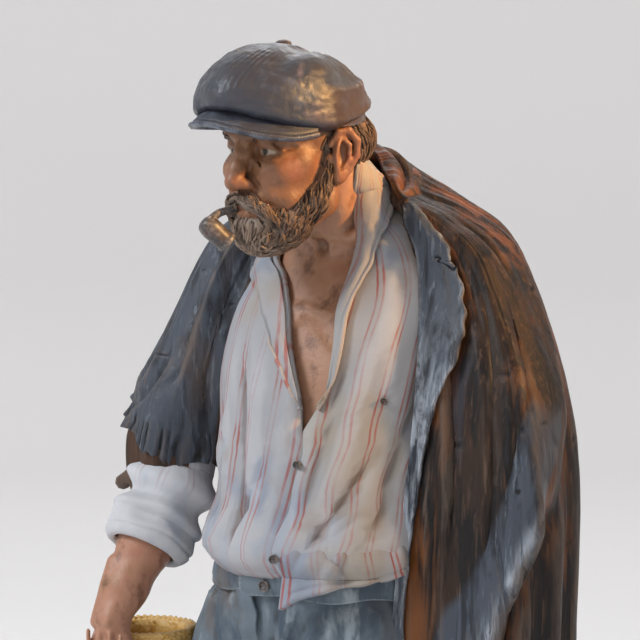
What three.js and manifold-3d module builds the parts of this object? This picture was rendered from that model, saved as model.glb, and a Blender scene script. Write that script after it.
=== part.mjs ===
// A painted terracotta figurine, about 28 cm tall: a stooped countryman in a flat cap, with a pipe in his
// mouth, an open striped shirt, a coat hung over both shoulders like a cape and a small wicker basket at his
// right side. The figure, its clothes and its low base are one fired piece. The pipe and the basket are
// pieces of their own. Millimetres, +Z up, the origin under the middle of the base, the chest towards -Y
// and the figure's left hand side towards +X.

import * as THREE from "three";
import { mergeVertices } from "three/addons/utils/BufferGeometryUtils.js";
import Module from "manifold-3d";

const wasm = await Module();
wasm.setup();

// Driving dimensions
const BASE = { x: 0, y: -3, halfWidth: 47, halfDepth: 50, height: 9 };
const HEAD = { x: 0.5, y: -8, z: 260, turn: -8, nod: 4 };
const CHEST_TURN = 12;
const SHOULDER_SLOPE = 0.17;
const SHOULDER_R = new THREE.Vector3(-22.5, 7.5, 229);
const ELBOW_R = new THREE.Vector3(-34.5, -5.5, 189);
const WRIST_R = new THREE.Vector3(-35.2, -26.2, 158);
const SHOULDER_L = new THREE.Vector3(27, 14, 232);
const ELBOW_L = new THREE.Vector3(42, 14, 188);
const WRIST_L = new THREE.Vector3(26, 2, 163);
const BASKET = { x: -37.8, y: -12.2, bottom: 137.5, rim: 155, rimRadius: 9.8, footRadius: 8, wall: 1.1 };
const COAT_WALL = 2.6;
const GAP = 0.3;

const { abs, cos, exp, hypot, max, min, PI, sin, sign } = Math;
const rad = THREE.MathUtils.degToRad;
const mix = THREE.MathUtils.lerp;
const ramp = THREE.MathUtils.smoothstep;
const point = (x, y, z) => new THREE.Vector3(x, y, z);

// A smooth bump of height 1, and of about the given half width.
function bell(x, centre, width) {
  return exp(-(((x - centre) / width) ** 2));
}

// A cosine or sine squared off: power 2 keeps the oval, more makes it boxy.
function boxy(value, power) {
  return sign(value) * abs(value) ** (2 / power);
}

// The row at a key, on a smooth curve through rows that are keyed by their first number.
function between(rows, key) {
  const last = rows.length - 1;
  let i = 0;
  while (i < last - 1 && key > rows[i + 1][0]) i += 1;
  const span = rows[i + 1][0] - rows[i][0];
  const t = THREE.MathUtils.clamp((key - rows[i][0]) / span, 0, 1);
  const slope = (k, column) => {
    const before = rows[max(k - 1, 0)];
    const after = rows[min(k + 1, last)];
    return ((after[column] - before[column]) / (after[0] - before[0])) * span;
  };
  return rows[i].map((from, column) => {
    const to = rows[i + 1][column];
    const rise = t * t * (3 - 2 * t);
    const leave = t * (1 - t) * (1 - t) * slope(i, column);
    const arrive = t * t * (t - 1) * slope(i + 1, column);
    return from + (to - from) * rise + leave + arrive;
  });
}

// A closed solid from positions and triangles, turned the right way out.
function solid(positions, triangles) {
  let volume = 0;
  for (let i = 0; i < triangles.length; i += 3) {
    const [a, b, c] = [0, 1, 2].map((k) => positions[triangles[i + k]]);
    volume += a.dot(b.clone().cross(c));
  }
  if (volume < 0) triangles.reverse();
  const vertProperties = new Float32Array(positions.flatMap((p) => p.toArray()));
  const triVerts = new Uint32Array(triangles);
  return new wasm.Manifold(new wasm.Mesh({ numProp: 3, vertProperties, triVerts }));
}

// The solid of a closed three.js geometry, each of whose points is moved by a function.
function solidOf(geometry, place = (p) => p) {
  geometry.deleteAttribute("normal");
  geometry.deleteAttribute("uv");
  const merged = mergeVertices(geometry, 1e-4);
  const at = merged.getAttribute("position");
  const positions = Array.from({ length: at.count }, (_, i) => place(point(at.getX(i), at.getY(i), at.getZ(i))));
  return solid(positions, Array.from(merged.index.array));
}

// A solid through rings of equal length, closed by a fan at each end.
function loft(rings) {
  const count = rings[0].length;
  const positions = rings.flat();
  const triangles = [];
  for (let r = 0; r < rings.length - 1; r += 1) {
    for (let k = 0; k < count; k += 1) {
      const a = r * count + k;
      const b = r * count + ((k + 1) % count);
      triangles.push(a, b, b + count, a, b + count, a + count);
    }
  }
  for (const [ring, start] of [[rings[0], 0], [rings.at(-1), (rings.length - 1) * count]]) {
    const middle = positions.length;
    positions.push(ring.reduce((sum, p) => sum.add(p), point(0, 0, 0)).divideScalar(count));
    for (let k = 0; k < count; k += 1) {
      const next = start + ((k + 1) % count);
      triangles.push(...(start === 0 ? [next, start + k, middle] : [start + k, next, middle]));
    }
  }
  return solid(positions, triangles);
}

// A closed slab of even thickness on a surface that is given for u and v from 0 to 1.
function sheet(surface, thickness, columns, rows) {
  const step = 0.002;
  const outer = [];
  const inner = [];
  for (let j = 0; j <= rows; j += 1) {
    for (let i = 0; i <= columns; i += 1) {
      const [u, v] = [i / columns, j / rows];
      const du = surface(min(u + step, 1), v).sub(surface(max(u - step, 0), v));
      const dv = surface(u, min(v + step, 1)).sub(surface(u, max(v - step, 0)));
      const out = du.cross(dv).normalize().multiplyScalar(thickness / 2);
      outer.push(surface(u, v).add(out));
      inner.push(surface(u, v).sub(out));
    }
  }
  const side = outer.length;
  const triangles = [];
  const at = (i, j) => j * (columns + 1) + i;
  const quad = (a, b, c, d) => triangles.push(a, b, c, a, c, d);
  for (let j = 0; j < rows; j += 1) {
    for (let i = 0; i < columns; i += 1) {
      const [a, b, c, d] = [at(i, j), at(i + 1, j), at(i + 1, j + 1), at(i, j + 1)];
      quad(a, b, c, d);
      quad(d + side, c + side, b + side, a + side);
    }
    quad(at(0, j), at(0, j + 1), at(0, j + 1) + side, at(0, j) + side);
    quad(at(columns, j + 1), at(columns, j), at(columns, j) + side, at(columns, j + 1) + side);
  }
  for (let i = 0; i < columns; i += 1) {
    quad(at(i + 1, 0), at(i, 0), at(i, 0) + side, at(i + 1, 0) + side);
    quad(at(i, rows), at(i + 1, rows), at(i + 1, rows) + side, at(i, rows) + side);
  }
  return solid([...outer, ...inner], triangles);
}

// A sphere whose points are moved by a function of their direction.
function blob(columns, rows, place) {
  return solidOf(new THREE.SphereGeometry(1, columns, rows).rotateX(PI / 2), (p) => place(p.normalize()));
}

// A round limb along stations of [x, y, z, radius], with hooked ends rounded off.
function limb(stations, sides, steps, swell = () => 0) {
  const path = new THREE.CatmullRomCurve3(stations.map(([x, y, z]) => point(x, y, z)));
  const radii = stations.map((row, i) => [i / (stations.length - 1), row[3]]);
  const rings = [];
  for (let s = 0; s <= steps; s += 1) {
    const t = s / steps;
    const along = path.getTangent(t);
    const across = point(0, 1, 0.2).cross(along).normalize();
    const third = along.clone().cross(across).normalize();
    const round = min(1, hypot(0.55, min(t, 1 - t) * steps));
    const radius = between(radii, t)[1] * round;
    rings.push(Array.from({ length: sides }, (_, k) => {
      const angle = (2 * PI * k) / sides;
      const reach = radius + swell(t, angle);
      return path.getPoint(t).addScaledVector(across, cos(angle) * reach).addScaledVector(third, sin(angle) * reach);
    }));
  }
  return loft(rings);
}

// A level oval whose reach differs to the left, right, front and back. Angle 0 is the front, 90 the left.
function oval(row, degrees, power = 2.2) {
  const [z, x, y, left, right, front, back] = row;
  const [s, c] = [sin(rad(degrees)), cos(rad(degrees))];
  return point(x + (s > 0 ? left : right) * boxy(s, power), y - (c > 0 ? front : back) * boxy(c, power), z);
}

// A body of level ovals between two heights, with folds that are added to its radius.
function levels(rows, from, to, count, sides, options = {}) {
  const { folds = () => 0, turn = 0, slope = 0, power = 2.2 } = options;
  const rings = [];
  for (let j = 0; j <= count; j += 1) {
    const z = mix(from, to, j / count);
    const row = between(rows, z);
    const middle = point(row[1], row[2], 0);
    rings.push(Array.from({ length: sides }, (_, k) => {
      const angle = (360 * k) / sides;
      const p = oval(row, angle, power).sub(middle);
      const reach = hypot(p.x, p.y);
      const grown = (reach + folds(angle, z)) / reach;
      const turned = p.multiply(point(grown, grown, 1)).applyAxisAngle(point(0, 0, 1), rad(turn));
      const lift = slope * turned.x * ramp(z, 175, 240);
      return turned.add(middle).add(point(0, 0, lift));
    }));
  }
  return loft(rings);
}

// The low base
const BASE_RINGS = [[0, 0.97], [1.5, 1], [6, 0.985], [BASE.height, 0.93]];

function baseEdge(angle) {
  return 1 + 0.025 * sin(3 * angle + 1) + 0.02 * sin(5 * angle + 0.4) + 0.012 * sin(8 * angle);
}

function base() {
  const sides = 20;
  return loft(BASE_RINGS.map(([z, share]) => Array.from({ length: sides }, (_, k) => {
    const angle = (2 * PI * k) / sides;
    const reach = share * baseEdge(angle);
    return point(
      BASE.x + BASE.halfWidth * boxy(sin(angle), 2.4) * reach,
      BASE.y - BASE.halfDepth * boxy(cos(angle), 2.4) * reach,
      z,
    );
  })));
}

// Shoes: [distance along the sole from its middle, half width, height]
const SHOE_ROWS = [[-23, 4.5, 7.5], [-20, 6.6, 12], [-11, 7, 15], [-2, 7.2, 13], [8, 8.4, 9.6], [16, 8.4, 7.8], [22, 6, 6.4], [24, 3.4, 4.6]];
const SHOES = [{ x: -22.5, y: -22, turn: -9 }, { x: 22, y: 6, turn: 14 }];

function shoe({ x, y, turn }) {
  const sides = 9;
  const sole = BASE.height - 1;
  return loft(SHOE_ROWS.map(([along, halfWidth, height]) => Array.from({ length: sides }, (_, k) => {
    const angle = (2 * PI * k) / sides;
    const across = halfWidth * boxy(cos(angle), 2.6);
    const up = sin(angle) > 0 ? height * boxy(sin(angle), 2.3) : 0.9 * boxy(sin(angle), 2.3);
    return point(across, -along, up).applyAxisAngle(point(0, 0, 1), rad(turn)).add(point(x, y, sole + 1));
  })));
}

// Trousers: [z, x, y, left, right, front, back]
const LEG_R = [
  [22, -20.5, -13, 12, 12, 13.5, 12], [34, -20.5, -13, 12, 12.5, 12.5, 12], [60, -19.5, -14, 11.5, 12, 12, 12.5],
  [88, -18.5, -15, 12.5, 13, 13.5, 13], [112, -17, -10.5, 14, 14, 14.5, 15], [137, -15, -4.5, 15, 15, 15.5, 17],
  [152, -14, -1, 14, 15.5, 16, 17.5], [166, -11, 0, 12, 13, 15, 16],
];
const LEG_L = [
  [22, 20, 14, 12, 12, 13.5, 12], [34, 20, 13.5, 12.5, 12, 12.5, 12], [60, 19.5, 9, 12, 11.5, 12, 12.5],
  [88, 18.5, 3, 13, 12.5, 13.5, 13], [112, 17, 2.5, 14, 14, 14.5, 15], [137, 15.5, 2, 15, 15, 15.5, 17],
  [152, 14.5, 2, 15.5, 14, 16, 17.5], [166, 11, 1, 13, 12, 15, 16],
];
const SEAT = [
  [144, 0, 2, 12, 12, 9, 10], [150, 0, 1.5, 24, 24, 15, 17], [158, 0.3, 1, 26, 26, 17, 18.5], [166, 0.5, 0.5, 24, 24, 17.3, 17.5],
  [171.5, 0.5, 0.3, 23, 22, 17, 17],
];

// Cloth that rumples above the shoe, at the knee and at the hip, in rings that slant.
function legFolds(angle, z) {
  const slant = z + 3 * sin(rad(angle + 40));
  const ankle = 1.3 * bell(slant, 31, 2.4) + 1.1 * bell(slant, 39, 2.6) + 0.8 * bell(slant, 48, 3);
  const knee = 0.9 * bell(slant, 80, 2.6) + 0.8 * bell(slant, 93, 3) - 0.5 * bell(slant, 86, 2.4);
  const crease = 0.8 * bell(((angle + 180) % 360) - 180, 8, 16) * ramp(z, 40, 70);
  return ankle + knee + crease;
}

function trousers() {
  return [
    levels(LEG_R, 22, 166, 13, 11, { folds: legFolds, power: 2.1 }),
    levels(LEG_L, 22, 166, 13, 11, { folds: legFolds, power: 2.1 }),
    levels(SEAT, 144, 171.5, 3, 16),
  ];
}

// Shirt and the chest under it: [z, x, y, left, right, front, back]
const SHIRT = [
  [164, 1, 0, 19, 17, 14.5, 15], [169.5, 1, -0.5, 22, 19, 16, 16], [172.5, 1, -1, 26, 21.8, 19.8, 17.5],
  [176.5, 1, -1.5, 27.5, 23.6, 21.5, 19], [186, 1, 0.5, 27, 22, 19.8, 19.5], [200, 1, 4, 28.3, 24.5, 19.5, 20.5],
  [215, 1.5, 8, 29.5, 28, 19.5, 20], [228, 2, 11, 30, 28, 17, 18], [237, 2, 12, 24, 22, 14.5, 15.5],
  [244, 2, 11.5, 15, 15, 12.5, 12.5], [249, 2, 10, 11, 11, 12, 11],
];

function shirtFolds(angle, z) {
  const left = ((angle + 180) % 360) - 180;
  const long = 0.9 * bell(left, -34, 7) + 0.8 * bell(left, -56, 7) + 0.9 * bell(left, 38, 7) + 0.8 * bell(left, 60, 8);
  const blouse = 0.9 * bell(left, -18, 6) + 0.8 * bell(left, -70, 8) + 0.7 * bell(left, 48, 6);
  return long * ramp(z, 245, 205) * 0.9 + blouse * bell(z, 180, 11);
}

// The neck opening: half its width at heights up the chest, and the line that it is cut along.
const OPENING = [[201, 0.2], [207, 2.2], [216, 5], [226, 7.1], [236, 8.4], [246, 11], [256, 15]];
const OPENING_LINE = { x: 1, y: 4, turn: 22 };

function openingCutter() {
  const outline = new THREE.Shape();
  const heights = Array.from({ length: 10 }, (_, k) => mix(201, 256, k / 9));
  const edge = (z, side) => [between(OPENING, z)[1] * side + 0.5 * sin(z * 0.45) * side, z];
  outline.moveTo(...edge(heights[0], 1));
  heights.slice(1).forEach((z) => outline.lineTo(...edge(z, 1)));
  heights.slice().reverse().forEach((z) => outline.lineTo(...edge(z, -1)));
  const cutter = new THREE.ExtrudeGeometry(outline, { depth: 40, bevelEnabled: false, steps: 1 });
  cutter.rotateX(PI / 2).rotateZ(rad(OPENING_LINE.turn)).translate(OPENING_LINE.x, OPENING_LINE.y, 0);
  return solidOf(cutter);
}

function chest() {
  const skin = SHIRT.map(([z, x, y, ...reach]) => [z, x, y, ...reach.map((r) => r - 2.4)]);
  return levels(skin, 190, 247, 3, 14, { turn: CHEST_TURN, slope: SHOULDER_SLOPE });
}

function shirt() {
  const options = { folds: shirtFolds, turn: CHEST_TURN, slope: SHOULDER_SLOPE };
  return levels(SHIRT, 164, 249, 10, 22, options).subtract(openingCutter());
}

// A point on the shirt's surface, for what lies on it.
function onShirt(degrees, z, lift) {
  const row = between(SHIRT, z);
  const middle = point(row[1], row[2], 0);
  const p = oval(row, degrees).sub(middle);
  const reach = hypot(p.x, p.y);
  const grown = (reach + shirtFolds((degrees + 360) % 360, z) + lift) / reach;
  p.multiply(point(grown, grown, 1)).applyAxisAngle(point(0, 0, 1), rad(CHEST_TURN));
  return p.add(middle).add(point(0, 0, SHOULDER_SLOPE * p.x * ramp(z, 175, 240)));
}

// Where the neck opening's edge lies on the shirt, in degrees from its front.
function openingDegrees(z, side) {
  const wide = between(OPENING, z)[1] * side + 2.2 - 0.135 * (z - 200);
  return THREE.MathUtils.radToDeg(Math.asin(THREE.MathUtils.clamp(wide / between(SHIRT, z)[3], -0.95, 0.95)));
}

// The collar's two turned-down wings: [share down the wing, z, width in degrees, lift]
const WING_L = { side: 1, rows: [[0, 249, 40, 1.6], [0.3, 239, 28, 2], [0.65, 224, 16, 1.5], [1, 206, 4, 0.6]] };
const WING_R = { side: -1, rows: [[0, 247, 30, 1.4], [0.3, 238, 20, 1.6], [0.65, 223, 9, 1.2], [1, 205, 3, 0.5]] };

function wing({ side, rows }) {
  return sheet((u, v) => {
    const [, z, width, lift] = between(rows, v);
    const degrees = openingDegrees(z, side) + side * width * u;
    return onShirt(degrees, z - 2.5 * u * (1 - v), lift * sin(PI * u) + 0.3);
  }, 1.6, 3, 5);
}

// The shirt's tail, which hangs out over the trousers on the left of the buttons.
function tail() {
  return sheet((u, v) => {
    const hem = mix(165.8, 174.5, ramp(u, 0.02, 0.75)) - 1.2 * sin(u * 9);
    const flare = -1.2 + 2.8 * v + 0.5 * sin(u * 11) * v;
    const z = mix(181, hem, v);
    return onShirt(mix(0, 64, u), max(z, 172), flare).setZ(z);
  }, 1.6, 7, 3);
}

// The right arm: rolled shirt sleeve, bare forearm and the hand that holds the basket from below.
function armPoint(t) {
  return t < 1 ? SHOULDER_R.clone().lerp(ELBOW_R, t) : ELBOW_R.clone().lerp(WRIST_R, t - 1);
}

function arm() {
  const sleeve = [[0, 8.6], [0.4, 8], [0.85, 7], [1.1, 9.2], [1.35, 9.6], [1.52, 8.2]];
  const rumple = (t, angle) => 0.7 * sin(t * 34 + angle) * ramp(t, 0.9, 1.1);
  const sleeved = limb(sleeve.map(([t, radius]) => [...armPoint(t).toArray(), radius]), 10, 10, rumple);
  const bare = [[1.3, 6.4], [1.55, 6], [1.8, 4.8], [2, 4]];
  return [sleeved, limb(bare.map(([t, radius]) => [...armPoint(t).toArray(), radius]), 8, 3)];
}

// The left arm is under the coat, with its hand in the trouser pocket.
function coveredArm() {
  const stations = [[SHOULDER_L, 9], [ELBOW_L, 8], [WRIST_L, 6]];
  return limb(stations.map(([at, radius]) => [...at.toArray(), radius]), 6, 4);
}

// Fingers: [x, y, z, radius] from the knuckle round the basket's lower edge
const FINGERS = [0, 1, 2, 3].map((k) => {
  const x = -40.8 + 3.2 * k;
  const reach = [0, 1.4, 1.6, 0.4][k];
  return [[x, -24.4, 146, 2], [x, -24.2, 140, 2], [x, -21, 135.2, 1.8], [x, -15 + reach, 134.8, 1.5]];
});
const THUMB = [[-32.4, -26, 151.5, 2.4], [-28.8, -23.4, 148, 2.1], [-26.6, -19.6, 146.4, 1.8], [-26, -16.6, 146.2, 1.5]];

function hand() {
  const palm = blob(8, 6, (d) => {
    const place = point(d.x * 6.4, d.y * 3, d.z * 9);
    return place.applyAxisAngle(point(1, 0, 0), -0.1).add(point(-35.9, -25.6, 150.5));
  });
  return [palm, ...[...FINGERS, THUMB].map((rows) => limb(rows, 5, 3))];
}

// The coat. Each row: [share from collar to hem, z left, z right, z back, z front left, z front right, x, y,
// left, right, back, front left, front right]
const COAT = [
  [0, 249, 252, 258, 250, 250, 1.5, 7.5, 15, 10, 10.5, 6.5, 7],
  [0.08, 247.2, 250, 254.5, 247, 248.5, 1.5, 8, 18.5, 13.5, 14, 8, 10],
  [0.18, 243.5, 246, 249, 244, 245.5, 2, 10, 25.5, 23.5, 20, 8, 15],
  [0.3, 234.5, 237.5, 240, 235, 238, 2, 11, 36, 36.5, 27.5, 7.5, 20],
  [0.5, 206, 215, 206, 207, 216, 1, 6.5, 51, 45.5, 34, 9.5, 23.5],
  [0.75, 160, 207, 164, 160, 201, 1, 5, 52, 49, 34.5, 10.5, 27],
  [1, 101, 203, 121, 98, 187, 1, 4.5, 47.5, 51.5, 36, 9, 29.5],
];
// Its front edges, in degrees round the body, and how far the right one is drawn in: [share, left, right, tuck]
const COAT_EDGES = [
  [0, 78, 300, 0], [0.08, 68, 310, 2], [0.18, 45, 326, 5], [0.3, 33, 333, 8], [0.5, 30, 338, 9], [0.75, 24, 338, 13], [1, 30, 337, 15],
];
const COAT_GRID = { columns: 41, rows: 7, solidRows: 4 };
// Its long folds: [degrees at the hem, degrees it drifts by towards the collar, half width, height, start, full]
const COAT_FOLDS = [
  [60, -4, 5, 1.2, 0.5, 0.9], [78, 6, 5, 1.5, 0.3, 0.75], [95, 12, 5.5, 1.7, 0.35, 0.8],
  [114, 14, 6, 2.3, 0.25, 0.7], [134, 10, 6, 2.3, 0.3, 0.75], [154, 4, 6.5, 2.8, 0.25, 0.7], [175, 0, 7.5, 2.6, 0.3, 0.75],
  [196, -5, 6.5, 2.8, 0.25, 0.7], [216, -8, 6.5, 2.6, 0.3, 0.75], [235, -8, 6.5, 2.6, 0.25, 0.7], [253, -7, 6, 2.4, 0.25, 0.7],
  [268, -4, 4.4, 2.2, 0.25, 0.7], [281, -2, 4, 2.2, 0.25, 0.65], [292, 0, 3.4, 2, 0.3, 0.7], [306, 2, 3.4, 1.8, 0.35, 0.7],
  [328, 5, 3.4, 1.8, 0.3, 0.6],
];
// The ridge that crosses its left side to the front of the hem: [share, degrees, height, half width]
const COAT_RIDGE = [
  [0.3, 132, 0, 9], [0.42, 118, 1.6, 8], [0.5, 104, 2.8, 7.5], [0.6, 81, 3.4, 7], [0.7, 66, 3.4, 6.5], [0.86, 49, 3.2, 6], [1, 44, 3, 6],
];

function coatFolds(degrees, v) {
  const [, at, height, width] = between(COAT_RIDGE, v);
  const ridge = height * bell(degrees, at, width) - 0.55 * height * bell(degrees, at - 2.1 * width, 1.5 * width);
  return COAT_FOLDS.reduce((sum, [foldAt, drift, foldWidth, foldHeight, start, full]) => {
    return sum + 1.35 * foldHeight * bell(degrees, foldAt + drift * (1 - v), foldWidth) * ramp(v, start, full);
  }, 0) + ridge - 1.3 * ramp(v, 0.25, 0.6);
}

function coatAt(degrees, v, lift = 0) {
  const [, zLeft, zRight, zBack, zFrontL, zFrontR, x, y, left, right, back, frontL, frontR] = between(COAT, v);
  const [, edgeL, edgeR, tuck] = between(COAT_EDGES, v);
  const [s, c] = [sin(rad(degrees)), cos(rad(degrees))];
  const zFront = s > 0 ? zFrontL : zFrontR;
  const z = (s > 0 ? zLeft : zRight) * s * s + (c < 0 ? zBack : zFront) * c * c;
  const front = s > 0 ? frontL : frontR;
  const p = point((s > 0 ? left : right) * boxy(s, 2.5), -(c > 0 ? front : back) * boxy(c, 2.5), 0);
  const drawn = tuck * bell(degrees, edgeR, 12) + 1.2 * bell(degrees, edgeL, 5) * ramp(v, 0.2, 0.5);
  const reach = hypot(p.x, p.y);
  const grown = 1 + (coatFolds(degrees, v) + lift) / reach;
  return point(x + p.x * grown, y + p.y * grown + drawn, z);
}

// Degrees round the body for a share of the coat's breadth: the gathers on the right get the closer steps.
function coatDegrees(u, v) {
  const [, edgeL, edgeR] = between(COAT_EDGES, v);
  return u < 0.68 ? mix(edgeL, 268, u / 0.68) : mix(268, edgeR, (u - 0.68) / 0.32);
}

function coatShell() {
  return sheet((u, v) => coatAt(coatDegrees(u, v), v, -COAT_WALL / 2), COAT_WALL, COAT_GRID.columns, COAT_GRID.rows);
}

// The clay under the coat's upper part, down to the arms.
function coatCore() {
  const { columns, rows, solidRows } = COAT_GRID;
  const chord = 4;
  const rings = Array.from({ length: solidRows }, (_, j) => {
    const v = max(j, 0.1) / rows;
    const ring = Array.from({ length: columns + 1 }, (_, i) => {
      return coatAt(coatDegrees(mix(0.004, 0.996, i / columns), v), v, -COAT_WALL / 2);
    });
    const [first, last] = [ring[0], ring.at(-1)];
    for (let k = 1; k < chord; k += 1) ring.push(last.clone().lerp(first, k / chord));
    return ring;
  });
  return loft(rings);
}

// The turned-back facing along the coat's left front edge: [share, degrees it reaches from the edge]
const FACING = [[0.06, 8], [0.2, 13], [0.3, 15], [0.36, 12], [0.47, 6], [0.6, 3]];

function facing() {
  return sheet((u, v) => {
    const share = mix(0.1, 0.6, v);
    const [, edgeL] = between(COAT_EDGES, share);
    const from = edgeL - 1.5;
    return coatAt(from + between(FACING, share)[1] * u, share, 0.5 + 1.1 * sin(PI * u));
  }, 1.5, 3, 5);
}

// The coat's collar, a roll round the back of the neck.
function coatCollar() {
  return sheet((u, v) => {
    const degrees = mix(80, 300, u);
    const p = coatAt(degrees, 0.005 + 0.1 * v, sin(PI * v));
    return p.add(point(0, 0, 0.8 * (1 - v)));
  }, 3.2, 8, 2);
}

function coat() {
  return [coatShell(), coatCore(), facing(), coatCollar()];
}

// The head, in its own frame: x to his left, y to the back, z up, the origin between the ears
function onHead(p) {
  return p
    .applyAxisAngle(point(1, 0, 0), rad(HEAD.nod))
    .applyAxisAngle(point(0, 0, 1), rad(HEAD.turn))
    .add(point(HEAD.x, HEAD.y, HEAD.z));
}

function skull() {
  return blob(16, 12, (d) => {
    const jaw = 1 - 0.26 * ramp(-d.z, 0.1, 0.95);
    const p = point(12.4 * d.x * jaw, (d.y < 0 ? 14.6 : 16.5) * d.y, (d.z > 0 ? 18 : 19.5) * d.z);
    const socket = 1.6 * bell(p.z, -0.6, 2.4) * bell(abs(p.x), 5.2, 3) * ramp(-p.y, 0, 7);
    return onHead(p.setY(p.y + socket));
  });
}

// A limb whose stations are given in the head's frame.
function onFace(rows, sides, steps) {
  return limb(rows.map(([x, y, z, radius]) => [...onHead(point(x, y, z)).toArray(), radius]), sides, steps);
}

function mirrored(rows) {
  return [...rows, ...rows.slice(0, -1).reverse().map(([x, ...rest]) => [-x, ...rest])];
}

const NOSE = [[0, -12.6, 2.6, 1.4], [0, -15.2, -2, 1.7], [0, -17.6, -6.6, 2.4], [0, -14.6, -8.6, 1.7]];
const BROW = [[-9.4, -9.4, 1.2, 0.8], [-6.4, -13, 3, 1.3], [0, -14, 2.6, 1]];

function face() {
  const lids = [-1, 1].map((side) => blob(6, 4, (d) => {
    return onHead(point(2.7 * d.x + 5 * side, 1.6 * d.y - 12 + 0.9 * d.x * side, 1.6 * d.z - 0.9));
  }));
  return [onFace(NOSE, 6, 4), onFace(mirrored(BROW), 4, 6), ...lids];
}

function ear(side) {
  return blob(7, 5, (d) => {
    const bowl = 1 - 0.35 * bell(d.y, 0.1, 0.5) * bell(d.z, 0.1, 0.5) * ramp(d.x, 0, 1);
    const p = point(1.8 * d.x * bowl, 3.3 * d.y, 5.6 * d.z).applyAxisAngle(point(0, 0, 1), 0.45);
    p.applyAxisAngle(point(1, 0, 0), -0.2).add(point(12.6, 1.4, -2.8));
    return onHead(p.setX(p.x * side));
  });
}

function neck() {
  return limb([[2, 14, 236, 10.5], [1.5, 8, 245, 9.2], [0.8, 0.5, 252, 9], [0.5, -4, 258, 9]], 8, 3);
}

const CHEEK_BEARD = [[11.6, 0, 0, 1.6], [12, -0.8, -6, 2.6], [10.6, -4, -12, 3.4], [6, -9, -16, 3.4]];
const MOUSTACHE = [[-7.4, -11.6, -14.4, 0.9], [-4, -14.6, -11.8, 1.6], [0, -15.8, -10.7, 1.5]];

function beard() {
  const chin = blob(16, 7, (d) => {
    const turn = Math.atan2(d.x, -d.y);
    const lock = 1 + 0.04 * sin(9 * turn + 1) * ramp(-d.z, -0.4, 0.2);
    const p = point(11 * d.x, (d.y < 0 ? 10 : 8.6) * d.y, (d.z > 0 ? 4 : 8.8) * d.z).multiplyScalar(lock);
    p.y -= 2.8 * ramp(-d.z, 0, 1);
    p.z += 0.3 * max(p.y, 0);
    return onHead(p.add(point(0, -5.8, -13)));
  });
  const cheeks = [-1, 1].map((side) => onFace(CHEEK_BEARD.map(([x, ...rest]) => [x * side, ...rest]), 5, 4));
  return [chin, ...cheeks, onFace(mirrored(MOUSTACHE), 5, 7)];
}

function hair() {
  return blob(12, 6, (d) => {
    const tuft = 1 + 0.05 * sin(14 * Math.atan2(d.x, d.y));
    const p = point(12.9 * d.x, 11.6 * d.y, 9 * d.z).multiplyScalar(tuft);
    return onHead(p.add(point(0, 6, -1)));
  });
}

// The flat cap: a wide soft crown that droops over its band at the sides, a covered button and a stiff peak
const CROWN = { y: -2.6, z: 9, halfWidth: 16.2, halfLength: 19.6, rise: 12, sag: 3.6 };
const BAND = { y: -1.2, halfWidth: 13.9, halfLength: 16.9, low: 3, high: 9 };

function crown() {
  return blob(18, 8, (d) => {
    const turn = Math.atan2(d.x, -d.y);
    const up = d.z > 0 ? CROWN.rise * boxy(d.z, 1.9) : CROWN.sag * boxy(d.z, 2.6);
    const flat = hypot(d.x, d.y) ** (d.z > 0 ? -0.12 : -0.3);
    const waves = 1 + 0.018 * sin(5 * turn + 0.6) + 0.012 * sin(9 * turn);
    const p = point(CROWN.halfWidth * d.x * flat * waves, CROWN.halfLength * d.y * flat * waves, up);
    const droop = (2.5 * cos(2 * turn) - 1.5) * (1 - ramp(d.z, 0, 0.8)) - 3 * ramp(d.y, -0.3, 0.9) * ramp(d.z, -0.2, 0.3);
    const crease = -1.1 * bell(d.x + 0.5 * d.y, 0.35, 0.16) * ramp(d.z, 0.2, 0.8);
    return onHead(p.add(point(0, CROWN.y, CROWN.z + droop + crease)));
  });
}

function band() {
  return loft([BAND.low, BAND.high].map((z) => Array.from({ length: 16 }, (_, k) => {
    const angle = (2 * PI * k) / 16;
    const p = point(BAND.halfWidth * sin(angle), BAND.y - BAND.halfLength * cos(angle), z);
    return onHead(p.setZ(z + 1.2 * cos(angle) ** 2));
  })));
}

function peak() {
  return sheet((u, v) => {
    const turn = mix(-1.28, 1.28, u);
    const reach = v * (5.2 * cos(turn) ** 0.8 + 1);
    const x = (BAND.halfWidth - 0.6 + reach) * sin(turn);
    const y = BAND.y - (BAND.halfLength - 0.6 + reach) * cos(turn);
    return onHead(point(x, y, mix(9, 8, v) - 6.2 * abs(sin(turn)) ** 2.2));
  }, 1.6, 9, 2);
}

function cap() {
  const button = blob(6, 4, (d) => onHead(point(1.7 * d.x, 1.7 * d.y - 1.5, 1.2 * d.z + CROWN.z + CROWN.rise)));
  return [crown(), band(), peak(), button];
}

// The pipe, held upside down in the right corner of the mouth
const PIPE_HEEL = point(-3.5, -21.9, -14.8);
const PIPE_MOUTH = point(-2.2, -13.5, -12.2);
const BOWL_AXIS = point(0.35, 0.62, -0.7).normalize();
const BOWL = { radius: 2.2, length: 6.2, wall: 0.6, depth: 4.4 };

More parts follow.
